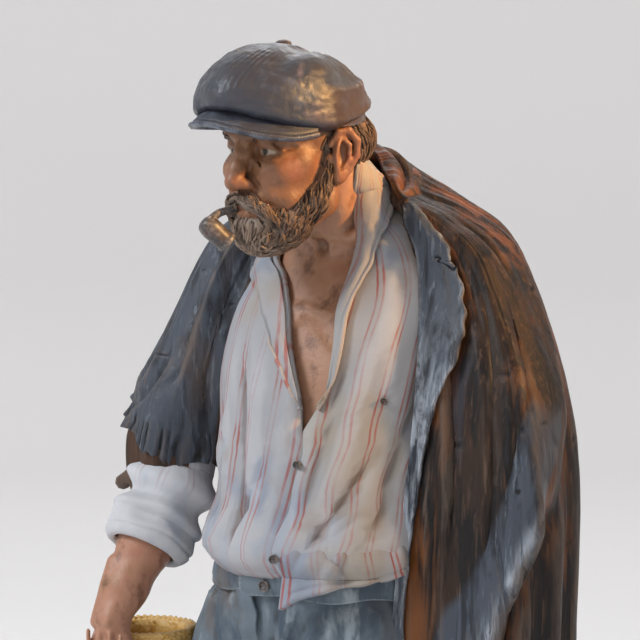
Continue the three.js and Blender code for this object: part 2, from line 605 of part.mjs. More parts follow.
function bowl(extra) {
  const { length, wall, depth } = BOWL;
  const outer = [[0, -0.9], [1.2, -0.7], [2, 0.3], [2.25, 2], [2.1, 4], [2.2, length]];
  const profile = outer.map(([radius, up]) => new THREE.Vector2(radius ? radius + extra : 0, up * (1 + extra / 6)));
  const top = length * (1 + extra / 6);
  const inside = BOWL.radius - wall;
  if (extra) profile.push(new THREE.Vector2(0, top));
  else profile.push(new THREE.Vector2(inside, length), new THREE.Vector2(inside * 0.9, length - depth), new THREE.Vector2(0, length - depth));
  const lathe = new THREE.LatheGeometry(profile, 9).rotateX(PI / 2);
  lathe.applyQuaternion(new THREE.Quaternion().setFromUnitVectors(point(0, 0, 1), BOWL_AXIS));
  return solidOf(lathe.translate(...PIPE_HEEL.toArray()), onHead);
}

function stem(radius) {
  const bend = PIPE_HEEL.clone().add(point(0.6, 3.4, 1.9));
  const path = new THREE.CatmullRomCurve3([PIPE_HEEL.clone().add(point(-0.2, 0.6, -0.2)), bend, PIPE_MOUTH]);
  const section = new THREE.Shape().absarc(0, 0, radius, 0, 2 * PI);
  const options = { steps: 5, extrudePath: path, curveSegments: 4, bevelEnabled: false };
  return solidOf(new THREE.ExtrudeGeometry(section, options), onHead);
}

function pipe(extra = 0) {
  return bowl(extra).add(stem(0.85 + extra));
}

// The basket: weave that goes over and under its stakes, a thick rim, and an open inside
const WEAVE = { stakes: 10, rows: 5, swell: 0.45 };

function basketRadius(z) {
  const t = (z - BASKET.bottom) / (BASKET.rim - BASKET.bottom);
  return mix(BASKET.footRadius, BASKET.rimRadius, t) + 0.9 * sin(PI * t);
}

function basketRing(radius, z, weave) {
  const sides = WEAVE.stakes * 2;
  return Array.from({ length: sides }, (_, k) => {
    const reach = radius + weave * (k % 2 ? 1 : -1);
    const angle = (2 * PI * k) / sides;
    return point(BASKET.x + reach * sin(angle), BASKET.y - reach * cos(angle), z);
  });
}

function basket() {
  const rings = [basketRing(BASKET.footRadius - 0.8, BASKET.bottom, 0)];
  for (let row = 0; row < WEAVE.rows; row += 1) {
    const z = mix(BASKET.bottom + 0.8, BASKET.rim - 2.4, row / (WEAVE.rows - 1));
    rings.push(basketRing(basketRadius(z), z, WEAVE.swell * (row % 2 ? 1 : -1)));
  }
  rings.push(basketRing(BASKET.rimRadius + 0.7, BASKET.rim - 1.5, 0));
  rings.push(basketRing(BASKET.rimRadius + 0.5, BASKET.rim - 0.2, 0));
  rings.push(basketRing(BASKET.rimRadius - 0.8, BASKET.rim, 0));
  for (const z of [BASKET.rim - 2, mix(BASKET.bottom, BASKET.rim, 0.5), BASKET.bottom + BASKET.wall]) {
    rings.push(basketRing(basketRadius(z) - BASKET.wall - WEAVE.swell, z, 0));
  }
  return loft(rings);
}

function basketClearance() {
  const heights = [BASKET.bottom - GAP, BASKET.bottom + 4, BASKET.bottom + 11, BASKET.rim - 3, BASKET.rim + GAP];
  return loft(heights.map((z) => basketRing(basketRadius(z) + WEAVE.swell + GAP + 0.2, z, 0)));
}

// Putting it together
function fuse(pieces) {
  return pieces.reduce((whole, piece) => whole.add(piece));
}

function figure() {
  const body = fuse([
    base(), ...SHOES.map(shoe), ...trousers(), chest(), shirt(), wing(WING_L), wing(WING_R), tail(),
    ...arm(), coveredArm(), ...hand(), ...coat(), neck(), skull(), ...face(), ear(1), ear(-1), ...beard(), hair(), ...cap(),
  ]);
  return body.subtract(basketClearance()).subtract(pipe(GAP));
}

function mesh(name, manifold, material) {
  const { vertProperties, triVerts } = manifold.getMesh();
  const geometry = new THREE.BufferGeometry();
  geometry.setAttribute("position", new THREE.BufferAttribute(vertProperties, 3));
  geometry.setIndex(new THREE.BufferAttribute(triVerts, 1));
  geometry.computeVertexNormals();
  const made = new THREE.Mesh(geometry, material);
  made.name = name;
  return made;
}

const paintedClay = new THREE.MeshStandardMaterial({ color: 0x8a7364, roughness: 0.8, metalness: 0 });
const pipePaint = new THREE.MeshStandardMaterial({ color: 0x3b3634, roughness: 0.6, metalness: 0 });
const wickerPaint = new THREE.MeshStandardMaterial({ color: 0xc89a4a, roughness: 0.75, metalness: 0 });

const figurine = new THREE.Group();
figurine.add(mesh("figure", figure(), paintedClay));
figurine.add(mesh("pipe", pipe(), pipePaint));
figurine.add(mesh("basket", basket(), wickerPaint));

export default figurine;
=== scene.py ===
import math

import bpy
import numpy as np
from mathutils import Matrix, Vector


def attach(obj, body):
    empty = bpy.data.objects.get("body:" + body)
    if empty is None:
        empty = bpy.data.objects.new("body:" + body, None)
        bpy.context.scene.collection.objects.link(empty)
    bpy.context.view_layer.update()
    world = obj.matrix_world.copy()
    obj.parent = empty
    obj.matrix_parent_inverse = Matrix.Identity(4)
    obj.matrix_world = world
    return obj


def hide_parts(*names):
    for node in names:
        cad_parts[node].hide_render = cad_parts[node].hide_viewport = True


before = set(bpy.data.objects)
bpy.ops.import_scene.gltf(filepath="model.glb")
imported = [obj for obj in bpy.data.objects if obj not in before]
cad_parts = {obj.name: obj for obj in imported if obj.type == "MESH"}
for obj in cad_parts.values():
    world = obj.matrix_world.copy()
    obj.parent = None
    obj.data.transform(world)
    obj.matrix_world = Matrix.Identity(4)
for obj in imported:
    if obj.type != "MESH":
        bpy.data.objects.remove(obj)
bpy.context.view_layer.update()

# A painted terracotta figurine of a stooped countryman. Lengths are millimetres until a mesh is made.

# Driving dimensions, the same as the solids have
BASE = dict(x=0, y=-3, half_width=47, half_depth=50, height=9)
HEAD_AT = np.array([0.5, -8.0, 260.0])
HEAD_TURN, HEAD_NOD = -8, 4
CHEST_TURN = 12
SHOULDER_SLOPE = 0.17
SHOULDER_R, ELBOW_R, WRIST_R = (-22.5, 7.5, 229), (-34.5, -5.5, 189), (-35.2, -26.2, 158)
SHOULDER_L, ELBOW_L, WRIST_L = (27, 14, 232), (42, 14, 188), (26, 2, 163)
BASKET = dict(x=-37.8, y=-12.2, bottom=137.5, rim=155, rim_radius=9.8, foot_radius=8, wall=1.1)
COAT_WALL = 2.6
rng = np.random.default_rng(11)


# Small functions

def ramp(x, low, high):
    t = np.clip((np.asarray(x, float) - low) / (high - low), 0, 1)
    return t * t * (3 - 2 * t)


def bell(x, centre, width):
    return np.exp(-(((x - centre) / width) ** 2))


def boxy(value, power):
    return np.sign(value) * np.abs(value) ** (2 / power)


def mix(a, b, t):
    return a + (b - a) * t


def xyz(x, y, z):
    """Points of three coordinates, each of which may be one number for all."""
    return np.stack(np.broadcast_arrays(x, y, z), -1)


def circle(count):
    """Angles round a full turn."""
    return np.arange(count) * 2 * np.pi / count


def unit(vectors, least=1e-9):
    return vectors / np.maximum(np.linalg.norm(vectors, axis=-1, keepdims=True), least)


def sind(degrees):
    return np.sin(np.radians(degrees))


def cosd(degrees):
    return np.cos(np.radians(degrees))


def between(rows, key):
    """The row at each key, on a smooth curve through rows that are keyed by their first number."""
    rows = np.asarray(rows, float)
    at = rows[:, 0]
    last = len(at) - 1
    key = np.asarray(key, float)
    i = np.clip(np.searchsorted(at, key, side="left") - 1, 0, last - 1)
    before, after = rows[[0, *range(last)]], rows[[*range(1, last + 1), last]]
    slope = (after - before) / (after[:, :1] - before[:, :1])
    span = (at[i + 1] - at[i])[..., None]
    t = np.clip((key[..., None] - at[i][..., None]) / span, 0, 1)
    leave = t * (1 - t) ** 2 * slope[i] * span
    arrive = t * t * (t - 1) * slope[i + 1] * span
    return rows[i] + (rows[i + 1] - rows[i]) * t * t * (3 - 2 * t) + leave + arrive


def value_at(rows, key):
    """The second number of the rows at each key."""
    return between(rows, key)[..., 1]


def columns_at(rows, key):
    """All columns of the rows at each key, the key's own first."""
    return np.moveaxis(between(rows, key), -1, 0)


def oval(degrees, left, right, front, back, power):
    """A point on a ring that reaches out by its own length on each side. A higher power is squarer."""
    s, c = sind(degrees), cosd(degrees)
    return np.where(s > 0, left, right) * boxy(s, power), -np.where(c > 0, front, back) * boxy(c, power)


def noise(points, size, seed=0, octaves=1):
    """Smooth noise from -1 to 1 at points of 3 numbers. The size is that of its lumps."""
    total, weight, share = 0.0, 1.0, 0.0
    for octave in range(octaves):
        q = points / (np.asarray(size, float) / 2**octave) + 31.7
        cell = np.floor(q).astype(np.int64)
        f = q - cell
        f = f * f * (3 - 2 * f)
        value = 0.0
        for corner in range(8):
            d = np.array([corner & 1, corner >> 1 & 1, corner >> 2])
            n = (cell + d) @ np.array([374761393, 668265263, 1442695041]) + (seed + octave) * 974634777
            n = (n ^ (n >> 13)) * 1274126177
            n = ((n ^ (n >> 16)) & 0xFFFF) / 32767.5 - 1
            value = value + n * np.prod(np.where(d, f, 1 - f), axis=-1)
        total, share, weight = total + value * weight, share + weight, weight * 0.5
    return total / share


def turned(points, degrees, axis=2):
    s, c = sind(degrees), cosd(degrees)
    a, b = [(1, 2), (2, 0), (0, 1)][axis]
    out = np.array(points, float)
    out[..., a] = c * points[..., a] - s * points[..., b]
    out[..., b] = s * points[..., a] + c * points[..., b]
    return out


def on_head(points):
    return turned(turned(np.asarray(points, float), HEAD_NOD, 0), HEAD_TURN) + HEAD_AT


def smooth_path(stations, count):
    """Points, and the other numbers, on a smooth curve through stations."""
    rows = np.array([[k, *row] for k, row in enumerate(stations)], float)
    return between(rows, np.linspace(0, len(rows) - 1, count))[:, 1:]


# Meshes: a form is points, lists of faces and a number for each point under each mark

class Form:
    def __init__(self, points, faces, **marks):
        self.points = np.asarray(points, float).reshape(-1, 3)
        self.faces = [np.asarray(f, np.int64) for f in faces if len(f)]
        self.marks = {}
        for name, mark in marks.items():
            mark = np.asarray(mark, float)
            self.marks[name] = np.broadcast_to(mark, mark.shape or len(self.points)).ravel().copy()

    def triangles(self):
        return np.concatenate([
            np.concatenate([f[:, [0, k, k + 1]] for k in range(1, f.shape[1] - 1)]) for f in self.faces
        ])

    def facing_out(self):
        a, b, c = (self.points[t] for t in self.triangles().T)
        if np.einsum("ij,ij->i", a, np.cross(b, c)).sum() < 0:
            self.faces = [f[:, ::-1] for f in self.faces]
        return self

    def normals(self):
        t = self.triangles()
        a, b, c = (self.points[k] for k in t.T)
        n = np.cross(b - a, c - a)
        out = np.stack([
            sum(np.bincount(k, n[:, d], len(self.points)) for k in t.T) for d in range(3)
        ], -1)
        return unit(out, 1e-12)

    def edges(self):
        pairs = np.concatenate([
            np.stack([f, np.roll(f, -1, axis=1)], -1).reshape(-1, 2) for f in self.faces
        ])
        return np.unique(np.sort(pairs, axis=1), axis=0)

    def spread(self, values, steps, edges=None):
        """Values evened out over neighbouring points."""
        a, b = (self.edges() if edges is None else edges).T
        count = np.maximum(
            np.bincount(a, minlength=len(self.points)) + np.bincount(b, minlength=len(self.points)), 1
        )
        values = np.array(values, float)
        flat = values.reshape(len(self.points), -1)
        for _ in range(steps):
            flat = np.stack([
                (np.bincount(a, column[b], len(column)) + np.bincount(b, column[a], len(column))) / count
                for column in flat.T
            ], -1)
        return flat.reshape(values.shape)

    def mark_hollows(self, fine=2, broad=14):
        """Marks hollow and deep: how far a point lies under its neighbours, near and far."""
        edges, normals = self.edges(), self.normals()
        near = self.spread(self.points, fine, edges)
        far = self.spread(near, broad, edges)
        self.marks["hollow"] = np.einsum("ij,ij->i", near - self.points, normals)
        self.marks["deep"] = np.einsum("ij,ij->i", far - self.points, normals)
        return self


def join(forms):
    names = sorted({k for form in forms for k in form.marks})
    start, faces = 0, []
    for form in forms:
        faces += [f + start for f in form.faces]
        start += len(form.points)
    marks = {
        k: np.concatenate([form.marks.get(k, np.zeros(len(form.points))) for form in forms])
        for k in names
    }
    return Form(np.concatenate([form.points for form in forms]), faces, **marks)


def quads(rows, columns, closed=False):
    j, i = np.meshgrid(np.arange(rows - 1), np.arange(columns - (not closed)), indexing="ij")
    a, b = (j * columns + i).ravel(), (j * columns + (i + 1) % columns).ravel()
    return np.stack([a, b, b + columns, a + columns], -1)


def loft(rings, ends=None, **marks):
    """A closed form through rings of points, with a fan at each end."""
    rings = np.asarray(rings, float)
    rows, columns = rings.shape[:2]
    ends = (rings[0].mean(0), rings[-1].mean(0)) if ends is None else ends
    points = np.concatenate([rings.reshape(-1, 3), ends])
    k = np.arange(columns)
    first, last = np.full(columns, rows * columns), np.full(columns, rows * columns + 1)
    low = np.stack([(k + 1) % columns, k, first], -1)
    high = np.stack([k, (k + 1) % columns], -1) + (rows - 1) * columns
    for name, mark in marks.items():
        mark = np.ravel(np.broadcast_to(mark, (rows, columns)))
        marks[name] = np.append(mark, mark[[0, -1]])
    return Form(
        points, [quads(rows, columns, True), low, np.column_stack([high, last])], **marks
    ).facing_out()


def shell(surface, thickness, columns, rows, coarse=1, relief=None, turn=1, **marks):
    """A closed slab on a surface of u and v. Its inner side has steps that are coarser, and no relief."""
    def sides(step):
        u, v = np.meshgrid(np.linspace(0, 1, columns // step + 1), np.linspace(0, 1, rows // step + 1))
        e = 0.002
        du = surface(np.minimum(u + e, 1), v) - surface(np.maximum(u - e, 0), v)
        dv = surface(u, np.minimum(v + e, 1)) - surface(u, np.maximum(v - e, 0))
        n = np.cross(dv, du) * turn
        return u, v, surface(u, v), unit(n)

    u, v, middle, out = sides(1)
    lift = thickness / 2 + (relief(u, v) if relief else 0)
    outer = middle + out * np.broadcast_to(lift, u.shape)[..., None]
    _, _, middle, back = sides(coarse)
    inner = middle - back * thickness / 2
    w, h = columns + 1, rows + 1
    cw, ch = columns // coarse + 1, rows // coarse + 1
    start = w * h

    def rim(line, coarse_line):
        steps = [line[k::coarse][: len(coarse_line) - 1] for k in range(coarse)]
        return np.stack([
            *steps, line[coarse::coarse], coarse_line[1:] + start, coarse_line[:-1] + start
        ], -1)

    i, j, ci, cj = np.arange(w), np.arange(h), np.arange(cw), np.arange(ch)
    rims = [
        rim(i, ci), rim((i + (h - 1) * w)[::-1], (ci + (ch - 1) * cw)[::-1]),
        rim((j * w)[::-1], (cj * cw)[::-1]), rim(j * w + w - 1, cj * cw + cw - 1),
    ]
    faces = [quads(h, w)[:, ::-1], quads(ch, cw) + start, *rims]
    inside = np.append(np.zeros(w * h), np.ones(cw * ch))
    made = {}
    for name, mark in marks.items():
        if not callable(mark):
            made[name] = np.full(w * h + cw * ch, mark)
            continue
        rough = mark(*np.meshgrid(np.linspace(0, 1, cw), np.linspace(0, 1, ch)))
        made[name] = np.append(mark(u, v), rough)
    return Form(
        np.concatenate([outer.reshape(-1, 3), inner.reshape(-1, 3)]), faces, inside=inside, **made
    ).facing_out()


def globe(columns, rows, place, dense_at=0.0, dense=0.0):
    """A ball whose points are moved by a function of their direction, with closer columns on one side."""
    turn = circle(columns)
    polar, around = np.meshgrid(
        np.linspace(0, np.pi, rows + 1)[1:-1], turn - dense * np.sin(turn - dense_at), indexing="ij"
    )
    d = xyz(np.sin(polar) * np.sin(around), -np.sin(polar) * np.cos(around), np.cos(polar))
    return loft(place(d), [place(np.array([0, 0, end])) for end in (1.0, -1.0)])


def tube(centre, across, up, x, y):
    """Rings of points round a line, which lie x across and y up from its points."""
    return centre[..., None, :] + across[..., None, :] * x[..., None] + up[..., None, :] * y[..., None]


def square_to(along):
    """Two directions that are square to each direction of a path and to each other."""
    across = unit(np.cross([0, 1, 0.2], along))
    return across, np.cross(along, across)


def limb(stations, sides, steps, swell=None):
    """A round limb along stations of x, y, z and radius, rounded off at its ends."""
    path = smooth_path(stations, steps + 1)
    centre, radius = path[:, :3], path[:, 3]
    across, third = square_to(unit(np.gradient(centre, axis=0)))
    t = np.linspace(0, 1, steps + 1)
    near_end = np.minimum(t, 1 - t) * np.linalg.norm(np.diff(centre, axis=0), axis=1).sum()
    blunt = np.clip(near_end / np.maximum(radius, 1e-6), 0.02, 1)
    radius = radius * np.sqrt(1 - (1 - blunt) ** 2 * 0.98)
    angle = circle(sides)
    reach = radius[:, None] + (swell(t[:, None], angle[None]) if swell else 0)
    return loft(tube(centre, across, third, np.cos(angle) * reach, np.sin(angle) * reach))


class Clay:
    """A field of distances on a grid, which shapes are added to and cut from with soft joins."""

    def __init__(self, low, high, step):
        self.low, self.step = np.array(low, float), step
        self.count = np.ceil((np.array(high) - self.low) / step).astype(int) + 1
        self.field = np.full(self.count, 6.0, np.float32)

    def window(self, low, high):
        a = np.clip(np.floor((np.array(low) - self.low) / self.step).astype(int), 0, self.count)
        b = np.clip(np.ceil((np.array(high) - self.low) / self.step).astype(int) + 1, 0, self.count)
        where = tuple(slice(p, q) for p, q in zip(a, b))
        axes = [self.low[k] + self.step * np.arange(a[k], b[k]) for k in range(3)]
        return where, np.stack(np.meshgrid(*axes, indexing="ij"), -1)

    def shape(self, distance, low, high, soft=0.0, cut=False):
        margin = soft + 2.5 * self.step
        where, points = self.window(np.array(low) - margin, np.array(high) + margin)
        if not points.size:
            return
        here, there = self.field[where], distance(points)
        if cut:
            here = -here
        k = max(soft, 1e-6)
        h = np.clip(0.5 + 0.5 * (there - here) / k, 0, 1)
        joined = there + (here - there) * h - k * h * (1 - h)
        self.field[where] = -joined if cut else joined

    def ball(self, centre, radii, soft=0.5, cut=False, turn=(0, 0, 0)):
        centre, radii = np.array(centre, float), np.broadcast_to(np.array(radii, float), 3)

        def distance(points):
            p = points - centre
            for axis, degrees in enumerate(turn):
                if degrees:
                    p = turned(p, -degrees, axis)
            scaled = np.linalg.norm(p / radii, axis=-1)
            slope = np.linalg.norm(p / radii**2, axis=-1)
            return scaled * (scaled - 1) / np.maximum(slope, 1e-6)

        reach = radii.max() if any(turn) else radii
        self.shape(distance, centre - reach, centre + reach, soft, cut)

    def rod(self, stations, soft=0.5, cut=False):
        stations = np.array(stations, float)
        for a, b in zip(stations[:-1], stations[1:]):
            axis = b[:3] - a[:3]

            def distance(points):
                t = np.clip((points - a[:3]) @ axis / max(axis @ axis, 1e-9), 0, 1)
                return (
                    np.linalg.norm(points - (a[:3] + t[..., None] * axis), axis=-1) - mix(a[3], b[3], t)
                )

            reach = max(a[3], b[3])
            self.shape(distance, np.minimum(a, b)[:3] - reach, np.maximum(a, b)[:3] + reach, soft, cut)

    def at(self, points):
        """The distance at points, and the way out from the surface there."""
        def sample(p):
            q = np.clip((p - self.low) / self.step, 0, self.count - 1.001)
            i = np.floor(q).astype(int)
            f = q - i
            total = 0
            for corner in range(8):
                d = np.array([corner & 1, corner >> 1 & 1, corner >> 2])
                total = total + self.field[tuple((i + d).T)] * np.prod(np.where(d, f, 1 - f), axis=-1)
            return total

        slope = np.stack([sample(points + e) - sample(points - e) for e in np.eye(3) * self.step], -1)
        return sample(points), unit(slope, 1e-6)

    def form(self):
        """The surface of the clay as a closed mesh, one point in each cell that it crosses."""
        self.field[[0, -1]] = self.field[:, [0, -1]] = self.field[:, :, [0, -1]] = 1
        solid = self.field < 0
        corners = [(i, j, k) for i in (0, 1) for j in (0, 1) for k in (0, 1)]
        part = [tuple(slice(c, n - 1 + c) for c, n in zip(corner, self.count)) for corner in corners]
        inside = sum(solid[p].astype(np.int8) for p in part)
        cells = np.argwhere((inside > 0) & (inside < 8))
        index = np.full(self.count - 1, -1)
        index[tuple(cells.T)] = np.arange(len(cells))
        total, hits = np.zeros((len(cells), 3)), np.zeros(len(cells))
        for a, first in enumerate(corners):
            for second in corners[a + 1:]:
                if np.abs(np.subtract(first, second)).sum() != 1:
                    continue
                here, there = (self.field[tuple((cells + c).T)] for c in (first, second))
                crossed = (here < 0) != (there < 0)
                t = np.where(crossed, here / np.where(crossed, here - there, 1), 0)
                total += np.where(
                    crossed[:, None], np.array(first) + t[:, None] * np.subtract(second, first), 0
                )
                hits += crossed
        points = self.low + self.step * (cells + total / hits[:, None])
        faces = []
        for axis in range(3):
            b, c = (axis + 1) % 3, (axis + 2) % 3
            first, second = (np.take(solid, np.arange(s, self.count[axis] - 1 + s), axis) for s in (0, 1))
            for start, end, order in ((first, second, (0, 1, 3, 2)), (second, first, (0, 2, 3, 1))):
                at = np.argwhere(start & ~end)
                shifts = [np.zeros(3, int) for _ in range(4)]
                for n, shift in enumerate(shifts):
                    shift[b] -= n & 1
                    shift[c] -= n >> 1
                around = [index[tuple((at + shift).T)] for shift in shifts]
                faces.append(np.stack([around[n] for n in order], -1))
        return Form(points, [np.concatenate(faces)]).facing_out()


def with_relief(form, relief):
    """The form with its points moved along its normals."""
    form.points = form.points + form.normals() * np.asarray(relief)[:, None]
    return form


def link(name, data):
    """A Blender object in the scene."""
    made = bpy.data.objects.new(name, data)
    bpy.context.scene.collection.objects.link(made)
    return made


def piece(name, form, material, node="figure"):
    """A Blender object of a form. It rides on the body and stands for the solid."""
    mesh = bpy.data.meshes.new(name)
    mesh.vertices.add(len(form.points))
    mesh.vertices.foreach_set("co", (form.points / 1000).astype(np.float32).ravel())
    sizes = np.concatenate([np.full(len(f), f.shape[1]) for f in form.faces])
    mesh.loops.add(int(sizes.sum()))
    mesh.loops.foreach_set(
        "vertex_index", np.concatenate([f.ravel() for f in form.faces]).astype(np.int32)
    )
    mesh.polygons.add(len(sizes))
    mesh.polygons.foreach_set("loop_start", np.append(0, np.cumsum(sizes)[:-1]).astype(np.int32))
    mesh.polygons.foreach_set("use_smooth", np.ones(len(sizes), bool))
    mesh.update(calc_edges=True)
    mesh.validate()
    for mark, values in form.marks.items():
        mesh.attributes.new(mark, "FLOAT", "POINT").data.foreach_set("value", values.astype(np.float32))
    mesh.materials.append(material)
    made = link(name, mesh)
    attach(made, "root")
    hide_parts(node)


# Paint: colours are given as sRGB bytes

def colour(r, g, b):
    return tuple(
        c / 12.92 if c <= 0.04045 else ((c + 0.055) / 1.055) ** 2.4 for c in (r / 255, g / 255, b / 255)
    ) + (1,)


ROUND = (1, 1, 1)


class Paint:
    """A material whose nodes are added by short calls, each of which gives the socket to use next."""

    def __init__(self, name, roughness=0.62, specular=0.35):
        self.material = bpy.data.materials.new(name)
        self.material.use_nodes = True
        self.tree = self.material.node_tree
        self.shader = self.tree.nodes["Principled BSDF"]
        self.shader.inputs["Roughness"].default_value = roughness
        self.shader.inputs["Specular IOR Level"].default_value = specular
        self.place = self.node("ShaderNodeTexCoord").outputs["Object"]
        self.bumps = []

    def node(self, kind, **settings):
        made = self.tree.nodes.new(kind)
        for key, value in settings.items():
            setattr(made, key, value)
        return made

    def feed(self, socket, value):
        """Gives an input the output of another node, a number or a colour."""
        if isinstance(value, bpy.types.NodeSocket):
            self.tree.links.new(value, socket)
        else:
            socket.default_value = colour(*value) if isinstance(value, tuple) else value

    def mark(self, name):
        return self.node("ShaderNodeAttribute", attribute_name=name).outputs["Fac"]

    def math(self, operation, a, b=0.0, clamp=False):
        made = self.node("ShaderNodeMath", operation=operation, use_clamp=clamp)
        self.feed(made.inputs[0], a)
        self.feed(made.inputs[1], b)
        return made.outputs[0]

    def times(self, a, b, clamp=False):
        return self.math("MULTIPLY", a, b, clamp)

    def plus(self, a, b):
        return self.math("ADD", a, b)

    def minus(self, a, b):
        return self.math("SUBTRACT", a, b)

    def span(self, value, low, high, to_low=0.0, to_high=1.0):
        made = self.node("ShaderNodeMapRange", interpolation_type="SMOOTHSTEP")
        for key, v in zip(
            ("Value", "From Min", "From Max", "To Min", "To Max"), (value, low, high, to_low, to_high)
        ):
            self.feed(made.inputs[key], v)
        return made.outputs["Result"]

    def noise(self, size, detail, stretch=ROUND, roughness=0.55, warp=0.0, turn=(0, 0, 0)):
        """Noise whose lumps are about the given size in millimetres, longer along a larger stretch."""
        mapping = self.node("ShaderNodeMapping")
        mapping.inputs["Rotation"].default_value = tuple(math.radians(t) for t in turn)
        mapping.inputs["Scale"].default_value = tuple(1000 / size / s for s in stretch)
        self.feed(mapping.inputs["Vector"], self.place)
        made = self.node("ShaderNodeTexNoise")
        self.feed(made.inputs["Vector"], mapping.outputs[0])
        for key, v in zip(("Scale", "Detail", "Roughness", "Distortion"), (1.0, detail, roughness, warp)):
            made.inputs[key].default_value = v
        return made.outputs["Fac"]

    def mix(self, share, a, b):
        made = self.node("ShaderNodeMix", data_type="RGBA")
        for key, v in ((0, share), (6, a), (7, b)):
            self.feed(made.inputs[key], v)
        return made.outputs[2]

    def patches(self, base, rows):
        """Colours laid over a base. A row is a colour, its share, the noise it follows and its limits."""
        for over, share, field, low, high in rows:
            base = self.mix(self.times(self.span(field, low, high), share), base, over)
        return base

    def wash_painted_shade_and_highlight(self, base, wash, dry, wash_share, dry_share, scale, stretch=ROUND, broken=1.0):
        """A dark wash in the hollows, which also paints the shade that falls there, and dry-brushed light on
        the ridges, which also paints highlights; both broken up by noise.
        """
        hollow, deep = self.mark("hollow"), self.mark("deep")
        grain = self.noise(1.6 * scale, 3, stretch)
        # Darker in the hollows and creases: a wash that is partly painted shade
        wash_and_shade = self.plus(
            self.span(hollow, 0.01 * scale, 0.09 * scale), self.span(deep, 0.1 * scale, 0.75 * scale)
        )
        wash_and_shade = self.times(wash_and_shade, self.span(grain, 0.25, 0.7, 1 - 0.45 * broken, 1.0), True)
        base = self.mix(self.times(wash_and_shade, wash_share), base, wash)
        # Lighter on the ridges: dry-brushing that is partly a painted highlight
        raised = self.plus(
            self.span(hollow, -0.01 * scale, -0.08 * scale), self.span(deep, -0.1 * scale, -0.7 * scale)
        )
        raised = self.times(raised, self.span(grain, 0.35, 0.65, 1 - broken, 1.0), True)
        return self.mix(self.times(raised, dry_share), base, dry)

    def bump(self, height, depth):
        """Adds relief of a depth in millimetres to the shading."""
        made = self.node("ShaderNodeBump")
        made.inputs["Strength"].default_value = 1.0
        made.inputs["Distance"].default_value = depth / 1000
        self.feed(made.inputs["Height"], height)
        if self.bumps:
            self.feed(made.inputs["Normal"], self.bumps[-1])
        self.bumps.append(made.outputs[0])

    def bumpy(self, rows):
        """Bumps by rows of the numbers of a noise and a depth."""
        for field, depth in rows:
            self.bump(self.noise(*field), depth)

    def done(self, base, gloss=None):
        self.feed(self.shader.inputs["Base Color"], base)
        if self.bumps:
            self.feed(self.shader.inputs["Normal"], self.bumps[-1])
        if gloss is not None:
            self.feed(self.shader.inputs["Roughness"], gloss)
        return self.material


def grain(fine, coarse):
    """The bumps of hand-worked clay: the numbers of their noise, and their depth."""
    return [((0.5, 5, ROUND, 0.65), fine), ((3.2, 3), coarse)]


def coat_paint():
    p = Paint("coat paint", 0.5, 0.26)
    streak = p.noise(4.2, 5, (1, 1, 7), 0.6, 0.4)
    broad = p.noise(13, 3, (1, 1, 3), 0.5, 0.3)
    fine = p.noise(1.1, 4, (1, 1, 9), 0.6, 0.3)
    brown = p.patches((44, 31, 23), [
        ((98, 58, 28), 0.85, broad, 0.5, 0.66),
        ((18, 15, 16), 0.97, streak, 0.45, 0.58),
        ((88, 66, 52), 0.6, fine, 0.54, 0.68),
        ((58, 58, 66), 0.6, p.noise(9, 4, (1, 1, 4), 0.6, 0.5), 0.58, 0.7),
    ])
    # Blue-grey: the coat's own paint, and a painted highlight on the ridge's front flank
    slate = p.patches((66, 72, 82), [
        ((34, 37, 44), 0.9, streak, 0.46, 0.6),
        ((118, 126, 136), 0.6, fine, 0.56, 0.72),
        ((70, 58, 54), 0.55, broad, 0.55, 0.72),
    ])
    ragged = p.times(p.minus(p.noise(5, 4, (1, 1, 5)), 0.5), 0.9)
    outside = p.mix(p.span(p.plus(p.mark("slate"), ragged), 0.3, 0.7), brown, slate)
    # Orange-brown: partly the coat's paint and partly painted warm light on its edges and folds
    rust = p.times(p.mark("rust"), p.span(streak, 0.62, 0.4))
    outside = p.mix(p.times(rust, 0.85), outside, (116, 68, 30))
    # A near-white painted highlight on the ridge and the edges
    rubbed = p.times(p.mark("rubbed"), p.span(p.noise(2.4, 5, (1, 1, 5), 0.65, 0.5), 0.4, 0.62))
    outside = p.mix(p.times(rubbed, 0.9), outside, (178, 186, 196))
    lining = p.patches((66, 46, 33), [
        ((38, 28, 23), 0.7, streak, 0.45, 0.62), ((96, 64, 40), 0.5, fine, 0.5, 0.7),
    ])
    base = p.mix(p.span(p.mark("inside"), 0.35, 0.65), outside, lining)
    base = p.wash_painted_shade_and_highlight(base, (15, 12, 12), (112, 96, 84), 1.0, 0.4, 1.8, (1, 1, 7))
    p.bumpy(grain(0.05, 0.1))
    p.bump(p.noise(0.7, 4, (1, 1, 8), 0.6), 0.12)
    return p.done(base, p.span(fine, 0.3, 0.7, 0.38, 0.6))


# Millimetres from one pair of stripes to the next, and from a pair's middle to its stripes
STRIPE_GAP, STRIPE_PAIR = 5.9, 0.62


